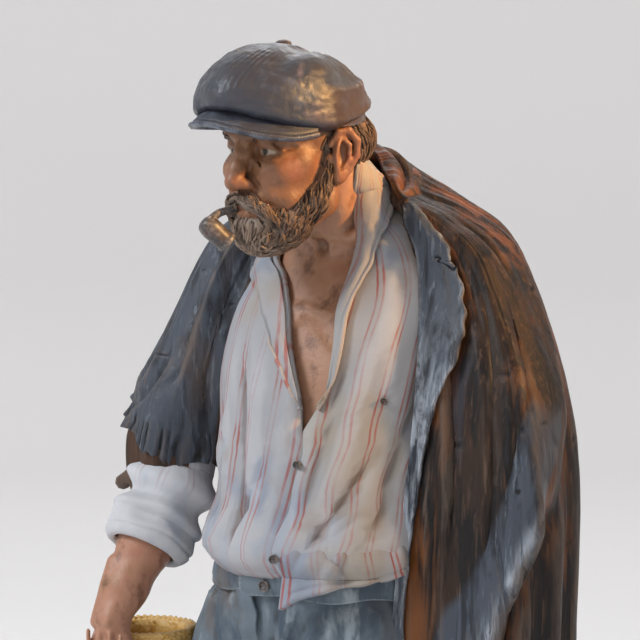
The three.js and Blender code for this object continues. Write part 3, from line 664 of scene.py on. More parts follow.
def cloth_paint(name, light, cool, warm, dark):
    """White shirt cloth: tinted patches, painted warm light where marked, double red stripes, painted shade
    in the folds and a thin weave.
    """
    p = Paint(name, 0.66, 0.25)
    broad = p.noise(15, 3, (1, 1, 1.6), 0.5, 0.3)
    # The warm mark tints the cloth with painted warm light
    base = p.mix(p.times(p.mark("warm"), 0.2), light, warm)
    base = p.patches(base, [
        (cool, 0.75, broad, 0.5, 0.62),
        (warm, 0.45, p.noise(17, 3, (1, 1, 2), 0.5, 0.4, (20, 10, 0)), 0.54, 0.66),
        ((140, 122, 106), 0.6, p.noise(9, 4, (1, 1, 3), 0.6, 0.5), 0.55, 0.74),
    ])
    along = p.plus(p.mark("stripe"), p.times(p.minus(p.noise(9, 2, (1, 1, 2)), 0.5), 0.7))
    place = p.minus(p.math("MODULO", p.plus(along, 600.0), STRIPE_GAP), STRIPE_GAP / 2)
    off = p.math("ABSOLUTE", p.minus(p.math("ABSOLUTE", place), STRIPE_PAIR))
    faded = p.span(p.noise(6, 3, (1, 1, 2.5)), 0.36, 0.66, 0.15, 0.85)
    line = p.times(p.span(off, 0.34, 0.14), faded)
    base = p.mix(p.times(line, p.mark("striped")), base, (150, 66, 56))
    base = p.wash_painted_shade_and_highlight(base, dark, (196, 198, 202), 0.55, 0.3, 5, (1, 1, 2), 0.4)
    p.bump(p.noise(0.34, 2, (4, 4, 1)), 0.035)
    p.bumpy(grain(0.03, 0.1))
    return p.done(base)


def skin_paint(name="skin paint", tint=(128, 88, 60), wash=0.7):
    p = Paint(name, 0.46, 0.45)
    base = p.patches(tint, [
        ((158, 116, 86), 0.7, p.noise(4, 3), 0.5, 0.68),
        ((92, 58, 38), 0.65, p.noise(4, 4, (1, 1, 1.5), 0.6), 0.52, 0.7),
        ((150, 92, 74), 0.4, p.noise(7, 2), 0.55, 0.7),
    ])
    base = p.mix(p.times(p.mark("flush"), 0.5), base, (138, 80, 58))
    base = p.wash_painted_shade_and_highlight(base, (58, 35, 23), (190, 150, 118), wash, 0.45, 2.4, (1, 1, 1), 0.5)
    base = p.mix(p.mark("white"), base, (178, 164, 148))
    base = p.mix(p.mark("iris"), base, (34, 26, 24))
    p.bumpy([((0.35, 4, ROUND, 0.6), 0.05), ((1.4, 3), 0.1)])
    return p.done(base)


def plain_paint(name, roughness, specular, base, patches, marks, wash_painted_shade_and_highlight, bumps, gloss=None):
    """Patches on a base colour, marked places, a wash and dry-brushing that paint shade in the hollows and
    highlights on the ridges, and bumps, with noise by its numbers.
    """
    p = Paint(name, roughness, specular)
    base = p.patches(base, [
        (over, share, p.noise(*field), low, high) for over, share, field, low, high in patches
    ])
    for mark, over in marks:
        base = p.mix(p.mark(mark), base, over)
    base = p.wash_painted_shade_and_highlight(base, *wash_painted_shade_and_highlight)
    p.bumpy(bumps)
    return p.done(base, p.span(p.noise(*gloss[0]), *gloss[1:]) if gloss else None)


hair_paint = plain_paint("hair paint", 0.55, 0.35, (70, 54, 46), [
    ((104, 82, 66), 0.7, (1.8, 4, (1, 1, 2.4)), 0.5, 0.66),
    ((58, 44, 38), 0.7, (3.5, 3), 0.52, 0.7),
    ((150, 116, 84), 0.45, (5, 3), 0.56, 0.7),
], [("ochre", (134, 100, 68)), ("grey", (140, 124, 112))],
    ((28, 20, 17), (142, 118, 98), 0.92, 0.4, 0.5), [((0.4, 3, (1, 1, 2.5)), 0.05)])
# The cap's brown mark is partly a painted warm reflection low on the crown's back
cap_paint = plain_paint("cap paint", 0.42, 0.42, (58, 62, 72), [
    ((60, 48, 44), 0.6, (10, 4, (1.5, 1, 1), 0.55, 0.6), 0.52, 0.68),
    ((88, 98, 116), 0.6, (7, 4, ROUND, 0.6, 0.4), 0.52, 0.7),
    ((132, 118, 122), 0.6, (8, 5, (1, 1, 1.6), 0.65, 0.8, (0, 40, 0)), 0.57, 0.72),
], [("brown", (66, 48, 36))],
    ((24, 22, 24), (140, 148, 164), 0.85, 0.4, 1.5), [((0.35, 4, ROUND, 0.65), 0.05), ((2.2, 3), 0.08)],
    ((3, 3), 0.3, 0.7, 0.28, 0.52))
trouser_paint = plain_paint("trouser paint", 0.55, 0.3, (100, 112, 122), [
    ((62, 75, 88), 0.9, (10, 4, (1, 1, 2), 0.55, 0.4), 0.47, 0.62),
    ((160, 172, 178), 0.6, (5, 4, (1, 1, 3), 0.6, 0.3), 0.54, 0.7),
    ((100, 86, 76), 0.6, (12, 4, (1, 1, 1.5), 0.6, 0.5), 0.55, 0.7),
], [("brown", (84, 62, 44))],
    ((40, 40, 42), (164, 174, 180), 0.75, 0.4, 2.6), grain(0.05, 0.12))
leather_paint = plain_paint("shoe paint", 0.45, 0.4, (66, 48, 38), [
    ((98, 70, 50), 0.7, (5, 4), 0.5, 0.66),
    ((44, 34, 30), 0.7, (3, 4), 0.54, 0.7),
], [], ((28, 22, 20), (140, 112, 90), 0.85, 0.5, 0.8), grain(0.05, 0.12))
ground_paint = plain_paint("ground paint", 0.75, 0.2, (112, 84, 60), [
    ((150, 116, 80), 0.75, (9, 5), 0.48, 0.64),
    ((78, 62, 52), 0.7, (5, 5), 0.52, 0.68),
    ((120, 122, 116), 0.5, (14, 4), 0.56, 0.7),
], [], ((48, 36, 28), (186, 158, 124), 0.85, 0.5, 1.2), grain(0.12, 0.25))
pipe_paint = plain_paint("pipe paint", 0.4, 0.45, (70, 64, 62), [
    ((98, 92, 92), 0.7, (2.4, 4), 0.5, 0.66),
    ((78, 54, 42), 0.7, (3, 3), 0.52, 0.7),
], [], ((26, 22, 22), (150, 144, 140), 0.8, 0.5, 0.5), [((0.4, 4), 0.03)])
wicker_paint = plain_paint("wicker paint", 0.5, 0.4, (200, 148, 66), [
    ((226, 184, 108), 0.7, (2.5, 4), 0.48, 0.66),
    ((158, 104, 42), 0.7, (3.5, 4), 0.52, 0.7),
], [], ((86, 52, 22), (238, 208, 146), 0.9, 0.5, 0.5), [((0.3, 4, (3, 3, 1)), 0.04)])


# The coat. Rows and edges are those of the solid: see coat_at for their columns.
COAT = [
    [0, 249, 252, 258, 250, 250, 1.5, 7.5, 15, 10, 10.5, 6.5, 7],
    [0.08, 247.2, 250, 254.5, 247, 248.5, 1.5, 8, 18.5, 13.5, 14, 8, 10],
    [0.18, 243.5, 246, 249, 244, 245.5, 2, 10, 25.5, 23.5, 20, 8, 15],
    [0.3, 234.5, 237.5, 240, 235, 238, 2, 11, 36, 36.5, 27.5, 7.5, 20],
    [0.5, 206, 215, 206, 207, 216, 1, 6.5, 51, 45.5, 34, 9.5, 23.5],
    [0.75, 160, 207, 164, 160, 201, 1, 5, 52, 49, 34.5, 10.5, 27],
    [1, 101, 203, 121, 98, 187, 1, 4.5, 47.5, 51.5, 36, 9, 29.5],
]
COAT_EDGES = [
    [0, 78, 300, 0], [0.08, 68, 310, 2], [0.18, 45, 326, 5], [0.3, 33, 333, 8], [0.5, 30, 338, 9],
    [0.75, 24, 338, 13], [1, 30, 337, 15],
]
# Long folds: degrees at the hem, drift towards the collar, half width, height, where it starts and is full
COAT_FOLDS = [
    [60, -4, 5, 1.2, 0.5, 0.9], [78, 6, 5, 1.5, 0.3, 0.75], [95, 12, 5.5, 1.7, 0.35, 0.8],
    [114, 14, 6, 2.3, 0.25, 0.7], [134, 10, 6, 2.3, 0.3, 0.75], [154, 4, 6.5, 2.8, 0.25, 0.7],
    [175, 0, 7.5, 2.6, 0.3, 0.75], [196, -5, 6.5, 2.8, 0.25, 0.7], [216, -8, 6.5, 2.6, 0.3, 0.75],
    [235, -8, 6.5, 2.6, 0.25, 0.7], [253, -7, 6, 2.4, 0.25, 0.7], [268, -4, 4.4, 2.2, 0.25, 0.7],
    [281, -2, 4, 2.2, 0.25, 0.65], [292, 0, 3.4, 2.0, 0.3, 0.7], [306, 2, 3.4, 1.8, 0.35, 0.7],
    [328, 5, 3.4, 1.8, 0.3, 0.6],
]
# The ridge across the left side, from the shoulder to the hem's front: share, degrees, height, half width
COAT_RIDGE = [
    [0.3, 108, 0, 9], [0.42, 103, 1.2, 8], [0.5, 98, 2.2, 7.5], [0.55, 93, 2.6, 7], [0.6, 88, 2.6, 7],
    [0.65, 77, 2.6, 6.5], [0.7, 66, 2.6, 6.5], [0.76, 56, 2.6, 6], [0.86, 49, 2.6, 5.5],
    [1, 44, 2.6, 5],
]
# Deep narrow valleys: share, degrees, depth, half width
COAT_VALLEYS = [
    [[0.2, 50, 0, 4], [0.3, 49, 2.4, 4.5], [0.45, 47, 3.4, 4.5], [0.56, 47, 2.6, 4], [0.7, 46, 0, 4]],
    [
        [0.16, 313, 0, 2.6], [0.26, 314, 2.4, 3], [0.46, 318, 3.2, 3], [0.58, 320, 1.8, 2.5],
        [0.7, 321, 0, 2]
    ],
    [
        [0.36, 326, 0, 2], [0.48, 327, 2.4, 2.4], [0.75, 329, 2.6, 2.4], [0.95, 331, 2.2, 2],
        [1, 331, 1.6, 2]
    ],
    [[0.48, 314, 0, 2.4], [0.6, 312, 2, 2.6], [0.8, 306, 2.6, 2.4], [0.95, 302, 2, 2], [1, 301, 1.6, 2]],
    [
        [0.2, 300, 0, 3], [0.34, 302, 2, 3.4], [0.55, 300, 2.6, 3], [0.8, 294, 2.4, 2.6],
        [1, 290, 1.6, 2.4]
    ],
    [[0.3, 92, 0, 4], [0.42, 88, 0.7, 4], [0.55, 76, 0.9, 4.5], [0.68, 56, 0.8, 4], [0.8, 42, 0.4, 4]],
    [[0.35, 70, 0, 3], [0.45, 66, 1.1, 3], [0.6, 62, 1.2, 3], [0.7, 58, 0, 3]],
]


def coat_folds(degrees, v):
    total = -1.3 * ramp(v, 0.25, 0.6)
    for at, drift, width, height, start, full in COAT_FOLDS:
        total = total + 1.35 * height * bell(degrees, at + drift * (1 - v), width) * ramp(v, start, full)
    _, at, height, width = columns_at(COAT_RIDGE, v)
    total = (
        total + height * bell(degrees, at, width * np.where(degrees < at, 2.5, 0.9))
        - 0.4 * height * bell(degrees, at + 1.9 * width, 0.9 * width)
    )
    for rows in COAT_VALLEYS:
        _, at, depth, width = columns_at(rows, v)
        total = total - 1.25 * depth * bell(degrees, at, width)
    return total


def coat_at(degrees, v, lift=0.0):
    """A point on the coat's outside. Degrees go round from the front over his left side, and v goes down."""
    degrees, v = np.broadcast_arrays(np.asarray(degrees, float), np.asarray(v, float))
    rows = columns_at(COAT, v)
    z_left, z_right, z_back, z_front_l, z_front_r = rows[1:6]
    x, y, left, right, back, front_l, front_r = rows[6:]
    _, edge_l, edge_r, tuck = columns_at(COAT_EDGES, v)
    s, c = sind(degrees), cosd(degrees)
    z = (
        np.where(s > 0, z_left, z_right) * s * s
        + np.where(c < 0, z_back, np.where(s > 0, z_front_l, z_front_r)) * c * c
    )
    px, py = oval(degrees, left, right, np.where(s > 0, front_l, front_r), back, 2.5)
    drawn = tuck * bell(degrees, edge_r, 12) + 1.2 * bell(degrees, edge_l, 5) * ramp(v, 0.2, 0.5)
    grown = 1 + (coat_folds(degrees, v) + lift) / np.hypot(px, py)
    return xyz(x + px * grown, y + py * grown + drawn, z)


# Where the two parts of the coat's width meet: the share of its width, and degrees
COAT_SPLIT = 0.68, 268


def coat_degrees(u, v):
    _, edge_l, edge_r, _ = columns_at(COAT_EDGES, v)
    share, middle = COAT_SPLIT
    return np.where(
        u < share, mix(edge_l, middle, u / share), mix(middle, edge_r, (u - share) / (1 - share))
    )


def past_edge(degrees, v):
    """Degrees beyond the coat's left front edge."""
    return degrees - value_at(COAT_EDGES, v)


def hem_wave(degrees):
    return 0.9 * np.sin(degrees * 0.21) + 0.6 * np.sin(degrees * 0.53 + 1) + 0.35 * np.sin(degrees * 1.7)


def coat_surface(u, v):
    degrees = coat_degrees(u, v)
    p = coat_at(degrees, v, -COAT_WALL / 2)
    p[..., 2] += hem_wave(degrees) * ramp(v, 0.9, 1) * (1 + ramp(degrees, 300, 240))
    edge = 0.9 * np.sin(v * 31) + 0.5 * np.sin(v * 67 + 2)
    p[..., 0] += edge * ramp(u, 0.012, 0) * ramp(v, 0.35, 0.5)
    return p


def coat_relief(u, v):
    degrees = coat_degrees(u, v)
    q = xyz(degrees * 0.8, v * 150, 0)
    long = 0.55 * noise(q, (4.5, 46, 9), 3, 2) + 0.3 * noise(q, (1.7, 22, 9), 7, 2)
    creases = -0.5 * np.maximum(noise(q, (2.6, 30, 9), 21) - 0.45, 0) * 3
    nicks = -0.9 * np.maximum(noise(q, (4.2, 0.9, 9), 33) - 0.72, 0) * 3
    gathers = (
        -0.9 * (0.5 + 0.5 * np.cos(degrees * 2 * np.pi / 2.6)) ** 2 * ramp(v, 0.8, 0.93)
        * ramp(degrees, 262, 276)
    )
    gathers = gathers * (0.6 + 0.4 * np.sin(degrees * 0.9))
    lumps = 0.16 * noise(q, (6, 6, 6), 45, 3)
    return (long + creases + nicks + lumps) * ramp(v, 0.03, 0.12) + gathers


def coat_slate_and_highlight(u, v):
    """Where the coat is blue-grey: the right panel and the front edge as its paint, and the front flank of
    the ridge as a painted highlight.
    """
    degrees = coat_degrees(u, v)
    panel = ramp(degrees, 262, 282) * ramp(v, 0.1, 0.2) * ramp(degrees, 337.5, 333.5)
    at = value_at(COAT_RIDGE, v)
    # The ridge's front flank: blue-grey as a painted highlight
    ridge = 0.9 * ramp(degrees, at - 25, at - 12) * ramp(degrees, at + 3, at - 1) * ramp(v, 0.42, 0.56)
    streaks = (
        0.35 * bell(degrees, 158, 7) * ramp(v, 0.3, 0.5)
        + 0.35 * bell(degrees, 215, 8) * ramp(v, 0.3, 0.5)
    )
    edge = 0.9 * ramp(past_edge(degrees, v), 3.2, 2) * ramp(v, 0.4, 0.5)
    return np.clip(panel + ridge + streaks + edge, 0, 1)


def coat_rust_and_warm_light(u, v):
    """The orange-brown beside the facing and the front edge, and on the far flank of the ridge: partly
    orange-brown paint and partly painted warm light.
    """
    degrees = coat_degrees(u, v)
    facing = between(FACING, v)[..., 1:].sum(-1)
    beside = bell(
        past_edge(degrees, v) - facing, 3.5 + 2 * ramp(v, 0.5, 0.7), 4 + 1.5 * ramp(v, 0.5, 0.7)
    ) * ramp(v, 0.08, 0.2)
    at = value_at(COAT_RIDGE, v)
    return np.clip(
        beside + 0.5 * bell(degrees, at + 15, 6) + 0.4 * bell(degrees, 176, 12)
        + 0.4 * bell(degrees, 232, 10),
        0, 1
    )


def coat_painted_highlight(u, v):
    """Where the coat takes a near-white painted highlight: along the ridge, more so towards the hem, and on
    the front edge.
    """
    degrees = coat_degrees(u, v)
    at = value_at(COAT_RIDGE, v)
    edge = ramp(past_edge(degrees, v), 2.6, 1.2) * ramp(v, 0.42, 0.5)
    return np.clip(
        bell(degrees, at - 1.5, 3.2 + 2 * ramp(v, 0.7, 1)) * ramp(v, 0.5, 0.75) + 0.55 * edge
        + 0.3 * bell(degrees, 215, 5) * ramp(v, 0.5, 0.9),
        0, 1
    )


def coat_brown_edge(u, v):
    """Lining brown, painted on the outside along the right front edge."""
    return ramp(coat_degrees(u, v), 333.8, 335.6) * ramp(v, 0.12, 0.2)


# The facing turned out along the left front edge: share, its start beyond the edge, its width in degrees
FACING = [
    [0.06, -1.5, 4], [0.12, -1.5, 11], [0.2, -0.8, 16], [0.3, -0.5, 20], [0.36, -1, 22],
    [0.42, -2, 17], [0.47, -2.5, 9], [0.52, -2.5, 5], [0.6, -2, 3.6], [0.7, -1.5, 3],
    [0.85, -1.5, 2.6], [1, -1.5, 2.3],
]


def facing_surface(u, v):
    share = mix(0.075, 0.995, v)
    _, start, wide = columns_at(FACING, share)
    edge = value_at(COAT_EDGES, share) + start
    wide = wide * (1 + 0.03 * np.sin(v * 77) + 0.03 * np.sin(v * 163))
    notch = 1 - 0.3 * bell(v, 0.234, 0.004)
    high = ramp(share, 0.6, 0.42)
    degrees = edge + wide * notch * u
    _, at, depth, width = columns_at(COAT_VALLEYS[0], share)
    bridge = depth * bell(degrees, at, width)
    p = coat_at(
        degrees, share,
        bridge + 0.8 + (0.3 + high) * np.sin(np.pi * u**1.3) + 0.9 * high * ramp(u, 0.6, 1)
    )
    p[..., 1] -= 1.4 * ramp(v, 0, 0.12)
    return p


def facing_relief(u, v):
    q = xyz(u * 12, v * 125, 0)
    crack = -0.8 * bell(v, 0.236 + 0.012 * np.sin(u * 9), 0.0025) * ramp(u, 0.3, 0.6)
    return (
        0.3 * noise(q, (3, 16, 9), 5, 3) + crack + 0.25 * noise(q, (1.6, 1.6, 9), 8, 2) * ramp(u, 0.2, 0)
    )


# The collar's roll: degrees and the place of its upper edge, then how far it reaches down the coat
COLLAR = [
    [45, 21.3, 3.9, 244, 0.02], [56, 19.8, 3.7, 246.2, 0.035], [68, 18.7, 4.6, 247.6, 0.045],
    [78, 16.4, 5.6, 249.6, 0.05], [90, 13.8, 7, 251.3, 0.05], [115, 9.4, 9.9, 253.8, 0.055],
    [145, 5.6, 12.7, 256.6, 0.06], [180, -0.8, 15.2, 258.8, 0.07], [210, -5.6, 14, 257.4, 0.09],
    [240, -10.3, 10.8, 254.6, 0.12], [270, -12.2, 6, 252.4, 0.14], [308, -11.2, 1, 250.2, 0.14],
]


def collar_surface(u, v):
    degrees = mix(47, 308, u)
    _, x, y, z, wide = columns_at(COLLAR, degrees)
    low = coat_at(degrees, np.interp(degrees, [45, 56, 68, 78], [0.18, 0.12, 0.08, 0]) + wide, -0.7)
    p = mix(xyz(x, y, z), low, v[..., None])
    full = (
        (bell(v, 0.24, 0.2) - 0.35 * bell(v, 0.56, 0.1) + 0.55 * bell(v, 0.8, 0.16)) * ramp(u, 0, 0.08)
        * ramp(u, 1, 0.92)
    )
    p[..., 2] += 1.4 * full
    return p + (0.7 * full)[..., None] * xyz(sind(degrees), -cosd(degrees), 0)


def collar_relief(u, v):
    q = xyz(u * 90, v * 14, 0)
    return 0.5 * noise(q, (9, 5, 9), 15, 3) + 0.2 * noise(q, (2, 6, 9), 17, 2)


# The strip of dark lining that hangs from the gathered right hem and curls up at its end
CURL_TURN = np.radians(np.interp(
    np.linspace(0, 1, 201), [0, 0.35, 0.55, 0.75, 1], [-62, -98, -92, -5, 165]
))
CURL_OUT, CURL_UP = (np.append(0, np.cumsum(f(CURL_TURN))[:-1]) / 200 for f in (np.cos, np.sin))


def hem_curl_surface(u, v):
    degrees = mix(303, 329, u)
    start = coat_at(degrees, 0.985, -3.0)
    out = start - np.array([1.0, 4.5, 0])
    out[..., 2] = 0
    out = out / np.linalg.norm(out, axis=-1, keepdims=True)
    length = mix(12.5, 8.5, ramp(u, 0.05, 0.9)) * (1 + 0.08 * np.sin(u * 19))
    at = np.linspace(0, 1, 201)
    p = start + out * (length * np.interp(v, at, CURL_OUT))[..., None]
    p[..., 2] += (
        length * np.interp(v, at, CURL_UP) + 0.5 * np.sin(degrees * 0.9) * v - 3.5 * ramp(v, 0.05, 0.4)
    )
    return p


coat_material = coat_paint()
coat = shell(
    coat_surface, COAT_WALL, 340, 168, 4, coat_relief, slate=coat_slate_and_highlight, brown=coat_brown_edge,
    rust=coat_rust_and_warm_light, rubbed=coat_painted_highlight,
)
coat.marks["inside"] = np.maximum(coat.marks["inside"], coat.marks.pop("brown"))
piece("coat", coat.mark_hollows(2, 12), coat_material)
trim = [
    shell(
        facing_surface, 1.5, 28, 360, 2, facing_relief, slate=0.95,
        # The facing's edges take a painted highlight
        rubbed=lambda u, v: 0.5 * bell(u, 0.97, 0.06) + 0.3 * bell(u, 0.02, 0.05)
        + 0.6 * ramp(v, 0.3, 0.5)
    ),
    shell(collar_surface, 1.2, 240, 28, 2, collar_relief, slate=0.0, rust=0.6),
]
for form in trim:
    form.marks["inside"][:] = 0
trim.append(shell(
    hem_curl_surface, 1.2, 100, 32, 2, lambda u, v: 0.2 * noise(xyz(u * 40, v * 12, u), 3, 2, 2)
))
trim[-1].marks["inside"][:] = 1
piece("coat_trim", join([form.mark_hollows(2, 10) for form in trim]), coat_material)


# The shirt: the power of its rings, its lowest and highest z, and the width of a degree, which stripes follow
BODY_POWER = 2.2
SHIRT_HEM, SHIRT_TOP = 166, 249
MM_PER_DEGREE = 0.47
# Its rings: [z, x, y, left, right, front, back]. Its edges below are [z, degrees from the front].
SHIRT = [
    [164, 1, 0, 19, 17, 14.5, 15], [169.5, 1, -0.5, 22, 19, 16, 16],
    [172.5, 1, -1, 26, 21.8, 19.8, 17.5], [176.5, 1, -1.5, 27.5, 23.6, 21.5, 19],
    [186, 1, 0.5, 27, 22, 19.8, 19.5], [200, 1, 4, 28.3, 24.5, 19.5, 20.5],
    [215, 1.5, 8, 29.5, 28, 19.5, 20], [228, 2, 11, 30, 28, 17, 18], [237, 2, 12, 24, 22, 14.5, 15.5],
    [244, 1.5, 10.8, 13.8, 14.6, 12, 12.5], [249, 1, 8.6, 9.4, 10.4, 11, 11],
]
# The left edge of the opening, which runs on down over the right edge and has the buttons
SHIRT_LEFT_EDGE = [
    [164, 4], [175.5, 4], [181, 3], [187, 5.5], [194, 7], [200, 5], [204, 8.5], [209.5, 12],
    [217, 11.5], [225.5, 8.5], [233, 11.5], [240.5, 17], [245, 26], [249, 40],
]
SHIRT_RIGHT_EDGE = [
    [164, 13], [196, 13], [200, 5], [204, 3], [210, -0.5], [219, -8], [228, -15.5], [234, -26],
    [238, -44], [243, -58], [249, -64],
]


def shirt_at(degrees, z, lift=0.0):
    degrees, z = np.broadcast_arrays(np.asarray(degrees, float), np.asarray(z, float))
    _, x, y, left, right, front, back = columns_at(SHIRT, z)
    px, py = oval(degrees, left, right, front, back, BODY_POWER)
    grown = 1 + (shirt_folds(degrees, z) + lift) / np.hypot(px, py)
    p = turned(xyz(px * grown, py * grown, z), CHEST_TURN)
    slope = SHOULDER_SLOPE * p[..., 0] * ramp(z, 175, 240)
    return p + xyz(x, y, slope)


# Shirt folds, from one place to another: degrees and z at both ends, half width in degrees, height
SHIRT_FOLDS = [
    [40, 196, 14, 176, 3.2, -1.5], [52, 190, 24, 172, 3, 1.0], [60, 214, 46, 180, 3.4, -1.2],
    [30, 222, 22, 184, 4, 0.9], [18, 214, 12, 186, 3, -0.8], [24, 240, 40, 206, 3.6, 0.8],
    [44, 238, 58, 210, 3.4, -0.9], [14, 184, 34, 173, 2.6, -0.9], [-20, 214, -14, 182, 4, 0.9],
    [-34, 218, -24, 178, 3.2, -1.3], [-46, 206, -36, 174, 3, 1.1], [-12, 196, -26, 175, 2.8, -1.1],
    [-54, 210, -52, 176, 3, -1.2], [-4, 188, -10, 173, 2.4, 0.8], [-18, 186, -38, 173, 2.4, -0.9],
    [-62, 200, -44, 172, 3, 1.0], [72, 200, 60, 174, 4, 1.2], [84, 214, 76, 176, 4, -1.2],
    [120, 220, 112, 180, 6, 1.2], [160, 224, 166, 178, 7, 1.3], [200, 224, 196, 178, 7, 1.2],
    [240, 220, 248, 180, 6, 1.2], [278, 214, 284, 178, 5, 1.1],
]


def shirt_folds(degrees, z):
    around = np.mod(np.asarray(degrees, float) + 180, 360) - 180
    total = 0.0
    for d0, z0, d1, z1, width, height in SHIRT_FOLDS:
        t = (z - z0) / (z1 - z0)
        line = np.mod(d0 + (d1 - d0) * t - around + 180, 360) - 180
        total = total + height * np.exp(-((line / width) ** 2)) * ramp(t, -0.15, 0.2) * ramp(t, 1.2, 0.85)
    return total + 0.8 * bell(z, 176, 5) * (0.5 + 0.5 * np.sin(np.radians(around) * 9))


def shirt_span(z):
    return value_at(SHIRT_LEFT_EDGE, z), 360 + value_at(SHIRT_RIGHT_EDGE, z)


def shirt_place(u, v):
    """Degrees and height at a share of the shirt's width and height, and the degrees of its left edge."""
    z = mix(SHIRT_HEM, SHIRT_TOP, v)
    left, right = shirt_span(z)
    return mix(left, right, u), z, left


def shirt_surface(u, v):
    z = mix(SHIRT_HEM, SHIRT_TOP, v)
    left, right = shirt_span(z)
    wave = 1.1 * np.sin(z * 0.42) * ramp(z, 203, 198) + 0.5 * np.sin(z * 0.31 + 1) * ramp(z, 203, 208)
    left = left + wave
    degrees = mix(left, right, u)
    under = -1.5 * ramp(degrees, 358, 366) * ramp(z, 203, 197)
    curl = 0.9 * ramp(degrees - left, 5, 0) * ramp(z, 203, 197) * (0.6 + 0.4 * np.sin(z * 0.5))
    return shirt_at(degrees, z, under + curl - 0.7)


def shirt_relief(u, v):
    degrees, z, left = shirt_place(u, v)
    q = xyz(degrees * 0.45, z, 0)
    seam = -0.25 * bell(degrees - left, 7, 0.5) * ramp(z, 203, 199)
    return 0.2 * noise(q, (7, 18, 9), 4, 2) + 0.05 * noise(q, (1.6, 3, 9), 9, 2) + seam


def shirt_stripe(u, v):
    degrees, z, _ = shirt_place(u, v)
    return degrees * MM_PER_DEGREE + 1.2 * np.sin(z * 0.05)


def shirt_painted_warm_light(u, v):
    """Painted warm light: the shirt is tinted yellower on his left side, where the warm lamp falls."""
    return ramp(shirt_place(u, v)[0], 110, 60)


shirt_paint = cloth_paint("shirt paint", (156, 156, 160), (130, 141, 158), (150, 134, 108), (88, 70, 60))
shirt = shell(
    shirt_surface, 1.4, 264, 144, 4, shirt_relief, stripe=shirt_stripe, striped=1.0, warm=shirt_painted_warm_light
)
piece("shirt", shirt.mark_hollows(2, 12), shirt_paint)


# Collar wings, which lie open on the shirt, and the tail that hangs over the waistband
WING_LEFT = [
    [0, 256.8, 52, 0.8], [0.12, 252.5, 46, 1.2], [0.24, 248, 38, 1.5], [0.34, 244, 22, 1.6],
    [0.44, 240, 11, 1.4], [0.55, 234, 6.5, 1.1], [0.68, 227, 4, 0.8], [0.84, 217, 2.4, 0.4],
    [1, 205, 0.8, -0.2],
]
WING_RIGHT = [
    [0, 247, 30, 1.4], [0.25, 239, 19, 1.4], [0.5, 229, 11, 0.9], [0.75, 217, 5, 0.4],
    [0.92, 209, 2, 0.1], [1, 205, 0.7, -0.2]
]


# The z where the collar starts and ends, and the radius of the neck
NECKLINE, STAND_TOP, NECK_RADIUS = 248.3, 257, 10.3


def collar_at(degrees, z, lift=0.0):
    """A point on the shirt, which goes on above its neckline as a collar that leans on the neck."""
    high = np.clip((z - NECKLINE) / (STAND_TOP - NECKLINE), 0, 1)
    turn = degrees + high * np.interp(np.mod(degrees, 360), [40, 180, 300], [58, 0, -36])
    centre = -2.3 + 0.857 * (STAND_TOP - z)
    radius = NECK_RADIUS + lift
    neck = xyz(0.5 + radius * sind(turn), centre - radius * cosd(turn), z)
    return mix(shirt_at(degrees, np.minimum(z, NECKLINE), lift), neck, high[..., None])


def wing(rows, edge_rows, side):
    def surface(u, v):
        _, z, width, lift = columns_at(rows, v)
        edge = value_at(edge_rows, z)
        ragged = 1 + 0.05 * np.sin(v * 37) + 0.03 * np.sin(v * 83)
        degrees = edge + side * width * u * ragged
        return collar_at(
            degrees, z - 2.5 * u * (1 - v),
            lift * np.sin(np.pi * u) + (0.45 + 0.35 * ramp(u, 0.75, 1)) * ramp(v, 1, 0.8)
        )

    def relief(u, v):
        q = xyz(u * 12, v * 44, 0)
        edge = 0.28 * bell(u, 0.96, 0.035) - 0.22 * bell(u, 0.86, 0.03)
        return 0.3 * noise(q, (4, 12, 9), 61, 3) + edge

    def stripe(u, v):
        width = between(rows, v)[..., 2]
        return side * u * width * 0.42 + 5.5 * v + 1.5

    # The left wing takes the painted warm light in full, the right one none
    return shell(
        surface, 1.3, 48, 140, 2, relief, side, stripe=stripe, striped=1.0, warm=0.5 + 0.5 * side
    )


TAIL_START, TAIL_WIDTH = 5, 61
TAIL_HEM = [[0, 165.2], [0.12, 167.4], [0.33, 169.3], [0.65, 171], [1, 173.8]]


def tail_surface(u, v):
    z = mix(180, value_at(TAIL_HEM, u), v)
    flare = -2.6 + 4.4 * v**0.8 + 0.6 * np.sin(11 * u) * v + 0.4 * np.sin(u * 23 + 1) * v * v
    p = shirt_at(TAIL_START + TAIL_WIDTH * u, np.maximum(z, 172), flare)
    p[..., 2] += np.minimum(z - 172, 0)
    return p


def tail_relief(u, v):
    q = xyz(u * 30, v * 16, 0)
    seam = 0.3 * bell(v, 0.95, 0.04) - 0.25 * bell(v, 0.86, 0.03)
    return 0.3 * noise(q, (4, 12, 9), 66, 3) + seam * ramp(u, 0, 0.1)


# The tail takes part of the painted warm light
tail = shell(
    tail_surface, 1.5, 120, 44, 2, tail_relief,
    stripe=lambda u, v: (TAIL_START + TAIL_WIDTH * u) * MM_PER_DEGREE + 1.2, striped=1.0, warm=0.6
)
piece("shirt_wings", join([
    form.mark_hollows(2, 10) for form in (
        wing(WING_LEFT, SHIRT_LEFT_EDGE, 1), wing(WING_RIGHT, SHIRT_RIGHT_EDGE, -1), tail
    )
]), shirt_paint)


